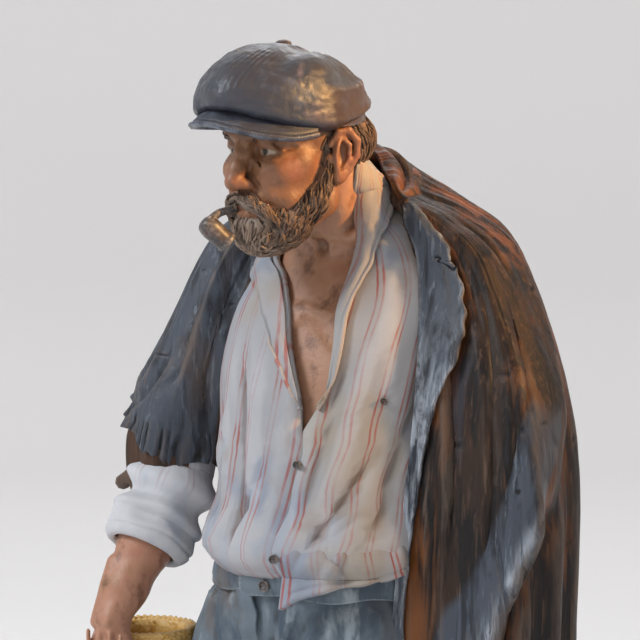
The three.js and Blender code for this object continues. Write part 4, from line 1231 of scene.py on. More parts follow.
def button(degrees, z, radius, lift, tilt=0.0):
    """A shirt button with a raised rim and two holes."""
    centre, e = shirt_at(degrees, z, lift), 0.5
    across = shirt_at(degrees + e, z, lift) - shirt_at(degrees - e, z, lift)
    across = unit(across)
    up = unit(np.array([0, 0, 1.0]) - across[2] * across)
    out = np.cross(across, up)
    across, up = (
        across * math.cos(tilt) + up * math.sin(tilt), up * math.cos(tilt) - across * math.sin(tilt)
    )
    profile = [
        (0.5, -0.5), (0.94, -0.42), (1, -0.1), (0.97, 0.22), (0.86, 0.34), (0.74, 0.26), (0.66, 0.12),
        (0.4, 0.1), (0.15, 0.1)
    ]
    angle = circle(28)
    rings = []
    for r, height in profile:
        x, y = radius * r * np.cos(angle), radius * r * np.sin(angle)
        hole = sum(bell(np.hypot(x - side * 0.28 * radius, y), 0, 0.14 * radius) for side in (-1, 1))
        h = radius * height - (0.3 * radius * hole if height > 0 else np.zeros(len(x)))
        rings.append(centre + x[:, None] * across + y[:, None] * up + h[:, None] * out)
    return loft(rings).mark_hollows(1, 3)


piece("shirt_buttons", join([
    button(5.6, 194.2, 0.95, 0.9, 0.4), button(3.6, 175.8, 1.0, 0.9, 0.2),
    button(37.5, 206, 0.8, 0.7, 1.0),
    button(-7, 169, 1.3, 2.7, 0.3),
]), pipe_paint)


# Chest and neck
def oval_distance(points, rows, power, turn=0.0, slope=0.0, lift=0.0):
    """Roughly how far points lie outside a body of oval rings."""
    z = points[..., 2]
    for _ in range(2):
        x, y = np.moveaxis(between(rows, z)[..., 1:3], -1, 0)
        z = points[..., 2] - slope * (points[..., 0] - x) * ramp(z, 175, 240)
    _, x, y, left, right, front, back = columns_at(rows, z)
    q = turned(xyz(points[..., 0] - x, points[..., 1] - y, z), -turn)
    rx, ry = np.where(q[..., 0] > 0, left, right), np.where(q[..., 1] < 0, front, back)
    share = (np.abs(q[..., 0] / rx) ** power + np.abs(q[..., 1] / ry) ** power) ** (1 / power)
    degrees = np.degrees(np.arctan2(q[..., 0], -q[..., 1]))
    grown = lift(degrees, z) if callable(lift) else lift
    return np.hypot(q[..., 0], q[..., 1]) * (1 - 1 / np.maximum(share, 0.05)) - grown


skin = Clay((-24, -26, 196), (32, 27, 268), 0.8)
skin.shape(
    lambda p: np.maximum(
        oval_distance(p, SHIRT, BODY_POWER, CHEST_TURN, SHOULDER_SLOPE, -2.6), 197 - p[..., 2]
    ),
    (-24, -20, 196), (30, 26, 249), 0,
)
skin.rod([(2, 13, 238, 10), (1.6, 8, 245, 9.2), (0.8, 0.5, 252, 8.8), (0.5, -4, 259, 8.8)], 3)
for side in (-1, 1):
    skin.rod([
        (0.5 + side * 9.2, -2.2, 256, 1.7), (1 + side * 6.4, -1.2, 247, 1.9),
        (1.6 + side * 2.8, 0.6, 239.5, 1.5)
    ], 2)
    skin.rod([
        (2 + side * 2.6, 0.2, 238.6, 1.2), (2.4 + side * 9, 0.8, 240 + side, 1.3),
        (3 + side * 18, 7, 242 + side * 3, 1.5)
    ], 1.8)
    skin.rod([
        (2.2 + side * 1.2, -7.6, 226, 1.0), (3 + side * 9, -6.6, 222, 2.6), (3 + side * 15, -3, 228, 2.4)
    ], 3.5)
skin.rod([(0.9, -6.6, 252, 1.5), (1.2, -4.4, 247, 1.6), (1.7, -1.6, 241, 1.3)], 1.8)
skin.ball((1.8, -0.9, 238.2), (1.6, 1.5, 1.7), 1.6, True)
skin.rod([(2.3, -5.6, 232, 0.45), (2.8, -9.4, 222, 0.5), (3, -13, 208, 0.3)], 1.6, True)


def clip_to_shirt(points):
    """How far points lie outside the shirt's inner side, with room for the neck to come up through it."""
    near_neck = (
        ramp(points[..., 2], 238, 246)
        * ramp(np.hypot(points[..., 0] - 1.5, points[..., 1] - 5), 14, 10.5)
    )
    return oval_distance(points, SHIRT, BODY_POWER, CHEST_TURN, SHOULDER_SLOPE, -1.6) - 12 * near_neck


where, grid = skin.window((-24, -26, 196), (32, 27, 268))
skin.field[where] = np.maximum(skin.field[where], clip_to_shirt(grid))
chest = skin.form()
chest = with_relief(chest, 0.08 * noise(chest.points, (3, 3, 5), 71, 2))
chest.marks["flush"] = 0.35 * ramp(noise(chest.points, 9, 73, 2), 0.0, 0.5)
piece("chest", chest.mark_hollows(2, 10), skin_paint("chest paint", (168, 124, 98), 0.5))


# Trousers: [z, x, y, left, right, front, back]
LEG_RIGHT = [
    [20, -20.5, -13, 12, 12, 13.5, 12], [34, -20.5, -13, 12, 12.5, 12.5, 12],
    [60, -19.5, -14, 11.5, 12, 12, 12.5], [88, -18.5, -15, 12.5, 13, 13.5, 13],
    [112, -17, -10.5, 14, 14, 14.5, 15], [137, -15, -4.5, 15, 15, 15.5, 17],
    [152, -14, -1, 14, 15.5, 16, 17.5], [166, -11, 0, 12, 13, 15, 16],
]
LEG_LEFT = [
    [20, 20, 14, 12, 12, 13.5, 12], [34, 20, 13.5, 12.5, 12, 12.5, 12],
    [60, 19.5, 9, 12, 11.5, 12, 12.5], [88, 18.5, 3, 13, 12.5, 13.5, 13],
    [112, 17, 2.5, 14, 14, 14.5, 15], [137, 15.5, 2, 15, 15, 15.5, 17],
    [152, 14.5, 2, 15.5, 14, 16, 17.5], [166, 11, 1, 13, 12, 15, 16],
]
SEAT = [
    [144, 0, 2, 12, 12, 9, 10], [150, 0, 1.5, 24, 24, 15, 17], [158, 0.3, 1, 26, 26, 17, 18.5],
    [166, 0.5, 0.5, 24, 24, 17.3, 17.5], [171.5, 0.5, 0.3, 23, 22, 17, 17],
    [175, 0.5, 0.3, 22, 21, 16.5, 16.5],
]


def leg_folds(degrees, z):
    slant = z + 3 * sind(degrees + 40)
    total = (
        1.3 * bell(slant, 31, 2.4) + 1.1 * bell(slant, 39, 2.6) + 0.8 * bell(slant, 48, 3)
        + 0.9 * bell(slant, 80, 2.6)
    )
    total = total + 0.8 * bell(slant, 93, 3) - 0.5 * bell(slant, 86, 2.4)
    total = total + 0.8 * bell(np.abs(degrees), 180, 16) * ramp(z, 40, 70) * ramp(z, 175, 150)
    total = total + 0.5 * np.sin(np.radians(degrees * 3) + z * 0.06) * bell(z, 66, 16)
    total = (
        total + 0.7 * bell(z - 0.25 * np.abs(degrees), 118, 3)
        + 0.6 * bell(z - 0.3 * np.abs(degrees), 126, 3)
    )
    return total


def seat_folds(degrees, z):
    total = 1.2 * bell(degrees + 30, z - 166, 3) * ramp(z, 172, 164)
    for at, lean, width, height in (
        (-46, 0.6, 3, 1.2), (-16, -0.8, 2.6, 1.0), (8, 0.4, 3, -1.1), (24, 1.2, 3, 1.2),
        (38, 1.6, 3, -1.2), (50, 1.2, 4, 1.1), (-58, 0.4, 4, -0.9),
    ):
        total = total + height * bell(degrees, at + lean * (z - 166), width) * ramp(z, 167, 162)
    return total


trousers = Clay((-36, -32, 19), (36, 30, 176), 0.98)
for rows in (LEG_RIGHT, LEG_LEFT):
    _, x, y, left, right, front, back = np.transpose(rows)
    trousers.shape(
        lambda p: np.maximum(
            oval_distance(p, rows, 2.1, lift=leg_folds), np.maximum(20.5 - p[..., 2], p[..., 2] - 164)
        ),
        ((x - right).min() - 2, (y - front).min() - 2, 20),
        ((x + left).max() + 2, (y + back).max() + 2, 165), 2.5,
    )
trousers.shape(
    lambda p: np.maximum(
        oval_distance(p, SEAT, BODY_POWER, lift=seat_folds),
        np.maximum(145.5 - p[..., 2], p[..., 2] - 174)
    ),
    (-28, -21, 144), (28, 21, 175), 3,
)
for rows in (LEG_RIGHT, LEG_LEFT):
    x, y = rows[0][1:3]
    trousers.shape(
        lambda p: np.maximum(np.hypot(p[..., 0] - x, p[..., 1] - y) - 10.4, p[..., 2] - 22.6),
        (x - 11, y - 11, 19), (x + 11, y + 11, 23), 0.8, True
    )
trousers = trousers.form()
p = trousers.points
trousers = with_relief(
    trousers,
    0.35 * noise(p, (3.4, 3.4, 16), 81, 3) + 0.3 * noise(p, (7, 7, 7), 82, 2)
    + 0.12 * noise(p, (1.4, 1.4, 4), 83, 2)
)
trousers.marks["brown"] = (
    0.8 * ramp(trousers.points[:, 2], 60, 24) * (0.5 + 0.5 * noise(trousers.points, 7, 84, 3))
    + 0.25 * ramp(noise(trousers.points, (8, 8, 14), 85, 2), 0.1, 0.5)
)
piece("trousers", trousers.mark_hollows(2, 12), trouser_paint)


def seat_at(degrees, z, lift):
    _, x, y, left, right, front, back = columns_at(SEAT, z)
    px, py = oval(degrees, left, right, front, back, BODY_POWER)
    grown = 1 + lift / np.hypot(px, py)
    return xyz(x + px * grown, y + py * grown, z)


def waistband_surface(u, v):
    degrees = mix(-12, 347, u)
    return seat_at(
        degrees, mix(173.5, 166.8, v) + 0.4 * np.sin(degrees * 0.13),
        0.55 + 0.5 * np.sin(np.pi * v) + 0.5 * ramp(degrees, 8, -8) * ramp(u, 0.9, 0.5)
    )


def waistband_relief(u, v):
    q = xyz(u * 140, v * 8, 0)
    return 0.25 * noise(q, (6, 3, 9), 91, 3) - 0.18 * (bell(v, 0.1, 0.05) + bell(v, 0.9, 0.05))


def fly_surface(u, v):
    z = mix(167.5, 150, v)
    return seat_at(
        -16 + 9 * u + 4 * v + 1.5 * np.sin(v * 5), z, 0.5 + 0.7 * np.sin(np.pi * u) + 0.3 * np.sin(v * 17)
    )


waist = [
    shell(waistband_surface, 1.4, 300, 16, 2, waistband_relief),
    shell(
        fly_surface, 1.3, 20, 50, 2, lambda u, v: 0.25 * noise(xyz(u * 6, v * 18, 0), (2, 6, 9), 93, 3)
    ),
]
piece("waistband", join([form.mark_hollows(2, 8) for form in waist]), trouser_paint)


# Shoes: [along, half width, height]
SHOE_ROWS = [
    [-23, 4.5, 7.5], [-20, 6.6, 12], [-11, 7, 15], [-2, 7.2, 13], [8, 8.4, 9.6], [16, 8.4, 7.8],
    [22, 6, 6.4], [24, 3.4, 4.6]
]


def shoe(x, y, turn):
    def rings(rows, low, grow=0.0):
        made = []
        for t in np.linspace(0, 1, 60):
            along = mix(rows[0][0], rows[-1][0], t)
            _, half, height = between(rows, along)
            round_off = math.sqrt(max(1 - (abs(t - 0.5) * 2) ** 12, 0.02))
            angle = circle(64)
            across = (half + grow) * round_off * boxy(np.cos(angle), 2.6)
            up = np.where(
                np.sin(angle) > 0, (height + low) * round_off * boxy(np.sin(angle), 2.3),
                0.9 * boxy(np.sin(angle), 2.3)
            ) - low
            crease = (
                -0.5 * bell(along, 4, 0.8) - 0.4 * bell(along, 7.5, 0.8) - 0.35 * bell(along, 0.5, 0.8)
            )
            up = up + crease * ramp(np.sin(angle), 0.4, 0.9)
            made.append(xyz(across, -along, up))
        return np.array(made)

    upper = loft(rings(SHOE_ROWS, 0))
    upper = with_relief(
        upper,
        0.2 * noise(upper.points, 2.6, 94, 3)
        + 0.3 * bell(upper.points[:, 1], -14, 0.5) * ramp(upper.points[:, 2], 2, 4)
    )
    sole_rows = [[a * 1.03, w + 0.5, 1.6] for a, w, _ in SHOE_ROWS]
    sole = loft(rings(sole_rows, 0.2, 0.2))
    laces = [
        limb([
            (-3.2, 4 - k * 3.1 + 0.6, 13.2 - k * 1.55, 0.5), (0, 4 - k * 3.1, 14.6 - k * 1.7, 0.55),
            (3.2, 4 - k * 3.1 + 0.6, 13.2 - k * 1.55, 0.5)
        ], 8, 12)
        for k in range(4)
    ]
    made = join([form.mark_hollows(2, 8) for form in (upper, sole, *laces)])
    made.points = turned(made.points, turn) + [x, y, BASE["height"]]
    return made


piece("shoes", join([shoe(-22.5, -22, -9), shoe(22, 6, 14)]), leather_paint)


# The base: a low round plate of trodden earth
def base_form():
    columns, rings = 220, []
    angle = circle(columns)
    edge = 1 + 0.025 * np.sin(3 * angle + 1) + 0.02 * np.sin(5 * angle + 0.4) + 0.012 * np.sin(8 * angle)
    profile = [
        (0.4, 0), (0.94, 0), (0.97, 0.05), (0.985, 0.6), (1, 1.6), (1.0, 3), (0.99, 4.6), (0.985, 6),
        (0.975, 7.4), (0.955, 8.5)
    ]
    profile += [(r, BASE["height"]) for r in (0.93, *np.linspace(0.915, 0.02, 50))]
    for reach, z in profile:
        x = BASE["x"] + BASE["half_width"] * boxy(np.sin(angle), 2.4) * reach * edge
        y = BASE["y"] - BASE["half_depth"] * boxy(np.cos(angle), 2.4) * reach * edge
        rings.append(xyz(x, y, z))
    form = loft(rings)
    p = form.points
    rough = 0.45 * noise(p, (9, 9, 9), 96, 3) + 0.25 * noise(p, (2.4, 2.4, 2.4), 97, 2)
    stones = sum(1.3 * np.maximum(1 - (np.linalg.norm(p[:, :2] - c, axis=1) / r) ** 2, 0) for c, r in zip(
        rng.uniform((-38, -44), (38, 38), (26, 2)), rng.uniform(1.2, 3.4, 26)))
    top = ramp(p[:, 2], 6, 8.8)
    return with_relief(form, np.where(
        p[:, 2] < 0.3, 0, rough * mix(0.6, 1, top) + stones * 0.6 * top * (p[:, 2] > 8.9)
    ))


piece("base", base_form().mark_hollows(2, 12), ground_paint)


# The right sleeve, rolled up over the elbow, and the arm under it
ARM = np.array([SHOULDER_R, ELBOW_R, WRIST_R], float)


def arm_at(t):
    t = np.asarray(t, float)[..., None]
    upper, lower = mix(ARM[0], ARM[1], t), mix(ARM[1], ARM[2], t - 1)
    return np.where(t < 1, upper, lower) + (ARM[0] + ARM[2] - 2 * ARM[1]) * 0.08 * bell(t, 1, 0.2)


SLEEVE = [
    [0, 7], [0.3, 6.8], [0.5, 6.4], [0.8, 6.4], [0.92, 6.8], [1.0, 8.0], [1.07, 8.9], [1.15, 9.5],
    [1.25, 8.9], [1.33, 9.4], [1.4, 9.1], [1.46, 9.3], [1.52, 8.6],
]


def sleeve_form():
    columns, t = 144, np.concatenate([
        np.linspace(0.0, 1.52, 140), [1.535, 1.54, 1.535], np.linspace(1.52, 1.36, 10)
    ])
    inward = np.concatenate([np.zeros(140), [0.35, 1.0, 1.6], np.full(10, 1.9)])
    centre = arm_at(t)
    along = unit(np.gradient(arm_at(np.linspace(0, 1.6, 400)), axis=0))
    across, third = square_to(along[np.clip((t / 1.6 * 399).astype(int), 0, 399)])
    angle = circle(columns)
    tt, aa = t[:, None], angle[None]
    radius = between(SLEEVE, t)[:, 1][:, None] - inward[:, None]
    wave = (
        0.8 * np.sin(30 * tt + 1.3 * np.sin(aa + 0.5) + 0.8 * np.sin(2 * aa)) * ramp(tt, 0.92, 1.08)
        * ramp(tt, 1.5, 1.38)
    )
    wave = wave + 0.5 * np.sin(17 * tt - 2 * aa + 1) * ramp(tt, 0.95, 1.1) * ramp(tt, 1.5, 1.3)
    wave = wave + 0.6 * np.sin(5 * aa + 6 * tt) * ramp(tt, 1.1, 1.3) * ramp(tt, 1.5, 1.4) * 0.6
    cuff = (
        0.9 * bell(tt, 1.43, 0.045) + 0.7 * bell(tt, 1.5, 0.03) - 0.5 * bell(tt, 1.375, 0.014)
        - 0.4 * bell(tt, 1.47 + 0.004 * np.sin(3 * aa), 0.008)
    )
    outer = (np.arange(len(t)) < 143)[:, None]
    q = xyz(np.cos(aa) * 9, np.sin(aa) * 9, tt * 44)
    fine = 0.35 * noise(q, (5, 5, 4), 101, 3) + 0.1 * noise(q, (1.2, 1.2, 3), 102, 2)
    reach = radius + np.where(outer, wave + cuff + fine, 0.0)
    rings = tube(centre, across, third, np.cos(aa) * reach, np.sin(aa) * reach)
    return loft(rings, stripe=aa * 9 - 28, striped=0.45 * ramp(tt, 1.3, 1.0))


piece(
    "sleeve", sleeve_form().mark_hollows(2, 12),
    cloth_paint("sleeve paint", (192, 193, 197), (164, 174, 188), (186, 172, 160), (84, 74, 72))
)

hand = Clay((-47, -35, 131), (-21, -5, 182), 0.46)
hand.rod([(*arm_at(1.25), 6.2), (*arm_at(1.5), 5.8), (*arm_at(1.78), 4.5), (*arm_at(1.97), 3.7)], 2)
hand.rod([(-38.5, -27.4, 158, 1.3), (-37.6, -22.5, 170, 1.8)], 1.5)
for offset in ((-1.2, -3.2, 0), (1.4, -3.0, 0), (-2.6, -2.0, 0.5)):
    a, b = arm_at(1.66) + offset, arm_at(1.98) + np.array(offset) * 1.02
    hand.rod([(*a, 0.7), (*b, 0.65)], 0.9)
hand.ball((-35.9, -25.6, 150.5), (6.2, 2.9, 8.6), 2.2, turn=(-6, 0, 0))
for k, drop in enumerate((0, 1.4, 1.6, 0.4)):
    x = -40.8 + 3.2 * k
    finger = [
        (x, -26.2, 151.5, 1.5), (x, -24.9, 145.6, 1.95), (x, -24.3, 140.6, 1.75), (x, -23.4, 137.2, 1.7),
        (x, -20.6, 135.0, 1.6), (x, -15 + drop, 134.8, 1.35)
    ]
    hand.rod(finger, 0.55)
    hand.ball((x, -26.2, 145.8), (1.5, 0.9, 1.7), 0.8)
    hand.ball((x, -25.4, 138.2), (1.3, 0.9, 1.3), 0.7)
    hand.rod([(x + 0.9, -28.5, 156, 0.45), (x, -27.3, 147.5, 0.7)], 1.0)
    if k:
        hand.rod([(x - 1.6, -27.8, 146.5, 0.25), (x - 1.6, -26.6, 140, 0.35)], 0.7, True)
hand.rod([
    (-32.4, -26, 151.5, 2.4), (-28.8, -23.4, 148, 2.1), (-26.6, -19.6, 146.4, 1.8),
    (-26, -16.6, 146.2, 1.45)
], 1.2)
hand.rod([(-34, -29.3, 155, 0.3), (-35.4, -29.2, 148.5, 0.35)], 0.9, True)
hand = hand.form()
hand = with_relief(hand, 0.09 * noise(hand.points, (1.5, 1.5, 2.2), 104, 3))
hand.marks["flush"] = (
    0.55 * np.maximum(bell(hand.points[:, 2], 146, 2), bell(hand.points[:, 2], 138, 2.5))
    + 0.3 * ramp(noise(hand.points, 5, 105, 2), 0, 0.5)
)
piece("hand", hand.mark_hollows(2, 10), skin_paint("hand paint", (170, 122, 98)))

# The left arm, which stays under the coat
left_arm = limb(
    [(*SHOULDER_L, 9), (36, 15.5, 208, 8.8), (*ELBOW_L, 8), (35, 9.5, 174, 7.2), (*WRIST_L, 6)], 48, 50,
    lambda t, a: 0.7 * np.sin(40 * t + np.sin(a)) * ramp(t, 0.1, 0.3)
)
piece(
    "left_arm",
    with_relief(left_arm, 0.25 * noise(left_arm.points, (4, 4, 8), 107, 2)).mark_hollows(2, 8),
    shirt_paint
)


# The standing part of the shirt's collar, round the neck
def stand_surface(u, v):
    degrees = mix(40, 300, u)
    z = mix(248.2, STAND_TOP - 2.6 * ramp(degrees, 90, 130), v)
    return collar_at(degrees, z, 0.3 + 0.5 * np.sin(np.pi * v))


stand = shell(
    stand_surface, 1.3, 200, 24, 2, lambda u, v: 0.25 * noise(xyz(u * 50, v * 9, 0), 4, 68, 3), -1,
    stripe=lambda u, v: u * 60, striped=0.7
)
piece("shirt_collar", stand.mark_hollows(2, 8), shirt_paint)


# The head, in its own frame: x to his left, y to the back, z up, the origin between the ears
def both(rows):
    """Rows for his left side, and the same on his right."""
    return [rows, [(-row[0], *row[1:]) for row in rows]]


def arch(rows):
    """Rows from his right side over the middle to his left, by those of the left."""
    return [(-row[0], *row[1:]) for row in rows] + [row for row in rows[::-1] if row[0]]


def both_rods(clay, rows, soft, cut=False):
    for mirrored in both(rows):
        clay.rod(mirrored, soft, cut)


EYE, EYE_RADIUS = np.array([4.9, -10.0, -0.8]), 2.3
head = Clay((-16, -21.5, -20.5), (16, 9, 11), 0.34)
head.ball((0, 2.2, 3.5), (11.8, 15.4, 14), 0)
head.ball((0, -3.4, -4.5), (9.6, 10.0, 13.2), 3)
head.ball((0, -6.6, -13.8), (6.8, 6.8, 5.6), 4)
head.ball((0, -4, -10), (9.4, 7.6, 7), 3)
both_rods(head, [(10.6, 1, -5, 1.6), (9.6, -1, -12, 1.8), (6.4, -7, -16.6, 1.8)], 4)
# Cheeks, brow and temples
both_rods(head, [(8.8, -6.2, -3.6, 2.2), (6.6, -9.9, -5.0, 2.3), (4.4, -11.3, -6.4, 1.8)], 3)
both_rods(head, [
    (9.2, -7.6, 1.6, 1.1), (7.4, -10.4, 2.9, 1.3), (4.6, -12.5, 3.1, 1.35), (1.8, -13.2, 2.5, 1.3),
    (0, -13.2, 2.0, 1.2)
], 1.6)
head.rod(arch([(6, -10.6, 7, 2.4), (0, -12.4, 7, 2.4)]), 3)
# Eye sockets, the balls in them and the lids round them
for side in (-1, 1):
    head.ball((side * 5.0, -13.2, -0.6), (3.3, 2.5, 1.9), 1.6, True)
    head.ball((side * 2.6, -12.9, -0.6), (1.0, 1.2, 1.4), 1.0, True)
    head.ball(EYE * [side, 1, 1], EYE_RADIUS, 0.5)
for rows in both([
    (7.3, -10.4, -1.1, 0.4), (6.4, -11.9, 0.1, 0.5), (5.0, -12.5, 0.5, 0.55), (3.6, -12.2, 0.1, 0.5),
    (2.5, -11.3, -1.1, 0.4)
]):
    head.rod(rows, 0.35)
    head.rod([(x, y - 0.15, z + 0.95, 0.35) for x, y, z, r in rows[1:4]], 0.9)
for rows in both([
    (7.3, -10.4, -1.2, 0.35), (6.2, -11.7, -1.9, 0.42), (4.9, -12.2, -2.15, 0.45),
    (3.6, -11.8, -1.9, 0.42), (2.5, -11.3, -1.2, 0.35)
]):
    head.rod(rows, 0.35)
    head.rod([(x, y - 0.1, z - 1.15, 0.5) for x, y, z, r in rows[1:4]], 1.0)
both_rods(head, [(2.7, -12.2, -3.0, 0.25), (4.2, -12.3, -3.75, 0.3), (6.0, -11.2, -3.9, 0.25)], 0.8, True)
# Nose
head.rod([
    (0, -12.8, 2.0, 1.25), (0, -14.2, -1.0, 1.35), (0, -15.8, -4.2, 1.5), (0, -16.8, -6.6, 1.75)
], 1.6)
head.ball((0, -16.9, -6.9), (1.75, 1.6, 1.6), 0.8)
both_rods(head, [(1.5, -15.6, -7.2, 1.25), (2.3, -14.0, -7.4, 1.1)], 0.8)
both_rods(head, [(2.9, -13.9, -6.2, 0.2), (3.2, -13.2, -7.6, 0.25)], 0.6, True)
for side in (1, -1):
    head.ball((side * 1.05, -15.5, -8.5), (0.62, 0.95, 0.6), 0.3, True)
# Mouth and the folds beside it
head.ball((0, -11.6, -12), (4.6, 2.8, 3.6), 2.5)
head.rod(arch([(2.9, -13.2, -12.3, 0.5), (1, -14.3, -11.7, 0.75), (0, -14.4, -11.9, 0.6)]), 0.6)
head.rod(arch([(2.8, -13.1, -12.9, 0.5), (1, -14.1, -13.5, 0.85)]), 0.6)
head.rod(arch([(3.3, -13.4, -12.6, 0.14), (1.2, -15.0, -12.5, 0.2)]), 0.3, True)
both_rods(head, [(2.7, -14.0, -6.6, 0.22), (4.2, -12.9, -8.8, 0.4), (5.1, -11.7, -11.6, 0.3)], 1.2, True)
both_rods(head, [(5.2, -11.8, -9.2, 1.1), (7.4, -8.9, -10.6, 1.2)], 2.4)
for height in (5.6, 7.6):
    head.rod(arch([
        (6, -12.1, height - 0.3, 0.18), (3, -14.2, height + 0.1, 0.22), (0, -14.9, height - 0.2, 0.2)
    ]), 0.7, True)
for rows in both([(7.9, -9.6, -1.0, 0.16), (9.4, -7.6, -0.2, 0.14)]):
    head.rod(rows, 0.5, True)
    head.rod([(x, y, z - 0.9 - 0.5 * k, r) for k, (x, y, z, r) in enumerate(rows)], 0.5, True)
# Ears
for side in (-1, 1):
    lean = (-10, 0, side * 26)
    head.ball((side * 12.5, 1.8, -2.4), (1.5, 3.2, 5.3), 0.8, False, lean)
    head.ball((side * 12.9, 0.4, -6.8), (1.1, 1.5, 1.7), 0.8)
    head.ball((side * 13.9, 1.2, -2.6), (1.5, 1.7, 3.3), 0.5, True, lean)
    head.rod([
        (side * 12.2, -0.9, -0.4, 0.65), (side * 13.3, 0.4, 2.2, 0.7), (side * 14.1, 2.6, 2.4, 0.75),
        (side * 14.5, 4.4, 0.2, 0.75), (side * 14.2, 4.4, -2.8, 0.7), (side * 13.4, 3.0, -5.6, 0.65),
        (side * 12.9, 1.4, -7.4, 0.6)
    ], 0.35)
    head.rod([
        (side * 13.5, 1.4, 0.8, 0.4), (side * 13.9, 2.8, -0.6, 0.5), (side * 13.6, 2.8, -3.6, 0.5),
        (side * 13.2, 1.4, -5.2, 0.45)
    ], 0.4)
    head.ball((side * 12.2, -1.3, -3.2), (0.9, 0.8, 1.3), 0.5)
    head.ball((side * 13.3, 0.9, -3.2), (0.8, 0.9, 1.3), 0.3, True)
face = head.form()
local = face.points.copy()
face = with_relief(
    face, 0.09 * noise(local, (1.8, 1.8, 1.8), 121, 3) + 0.05 * noise(local, (0.8, 0.8, 0.8), 122, 2)
)
face.marks["flush"] = np.clip(
    0.75 * bell(np.linalg.norm(local - [0, -16.5, -7], axis=1), 0, 3)
    + 0.6 * bell(np.abs(local[:, 0]), 7.2, 2.6) * bell(local[:, 2], -5.5, 2.4) * (local[:, 1] < -6)
    + 0.5 * ramp(np.abs(local[:, 0]), 12.6, 14)
    + 0.9 * bell(np.linalg.norm((local - [0, -14, -12.6]) / [2.6, 1.4, 1.1], axis=1), 0, 1),
    0, 1)
across = np.abs(local[:, 0]) - EYE[0]
away = np.linalg.norm(np.abs(local * [1, 0, 0]) + local * [0, 1, 1] - EYE, axis=1)
open_eye = ramp(
    0.95 - 0.475 * (across / EYE_RADIUS) ** 2 - np.abs(local[:, 2] + 0.85), 0, 0.2
) * ramp(away, 2.62, 2.45)
face.marks["white"] = 0.8 * open_eye
face.marks["iris"] = 0.95 * open_eye * ramp(np.hypot(across, local[:, 2] + 0.75), 0.95, 0.78)
face.points = on_head(face.points)
piece("head", face.mark_hollows(2, 8), skin_paint())

# Hair and beard: a soft mass under, and locks that are laid over it along their flow
BEARD_SIDE = [
    (11.3, 0.2, 1, 1.1), (11.4, -0.6, -5, 1.5), (9.8, -3.4, -11.4, 2.6), (6.4, -7.6, -15.6, 3.4)
]
MOUSTACHE = [
    (0.4, -15.2, -10.2, 1.05), (2.6, -14.8, -10.9, 1.35), (5.0, -13.2, -12.8, 1.15),
    (6.8, -11.4, -15.2, 0.8)
]
mass = Clay((-16, -21, -28), (16, 20, 7), 0.6)
both_rods(mass, BEARD_SIDE, 1.5)
mass.ball((0, -7.2, -16.2), (8.4, 7.2, 5.6), 2.5)
mass.ball((0, -10.2, -18.2), (5.2, 4.8, 3.7), 2.5)
mass.ball((0, -12.6, -15.8), (3.6, 2.4, 1.5), 1.5)
both_rods(mass, MOUSTACHE, 0.8)
mass.ball((0, -16.6, -13.0), (2.4, 2.4, 0.75), 0.9, True)
mass.ball((0, 5.2, 0), (12.7, 13.2, 8.2), 1.5)
mass.ball((0, 8, -8), (9, 8, 4), 2)
mass.ball((0, -8, 6), (14, 12.5, 7), 1.0, True)
for side in (-1, 1):
    mass.ball((side * 14.6, 1.6, -3.2), (3.2, 4.2, 6.6), 0.8, True)
hair_mass = mass.form()
q = hair_mass.points
turn = np.arctan2(q[:, 0], -q[:, 1] - 4)
strands = noise(xyz(turn * 11, q[:, 2] * 0.25, q[:, 1] * 0.1), 1.0, 131, 2)
hair_mass = with_relief(hair_mass, 0.28 * strands + 0.2 * noise(q, 1.6, 132, 2))


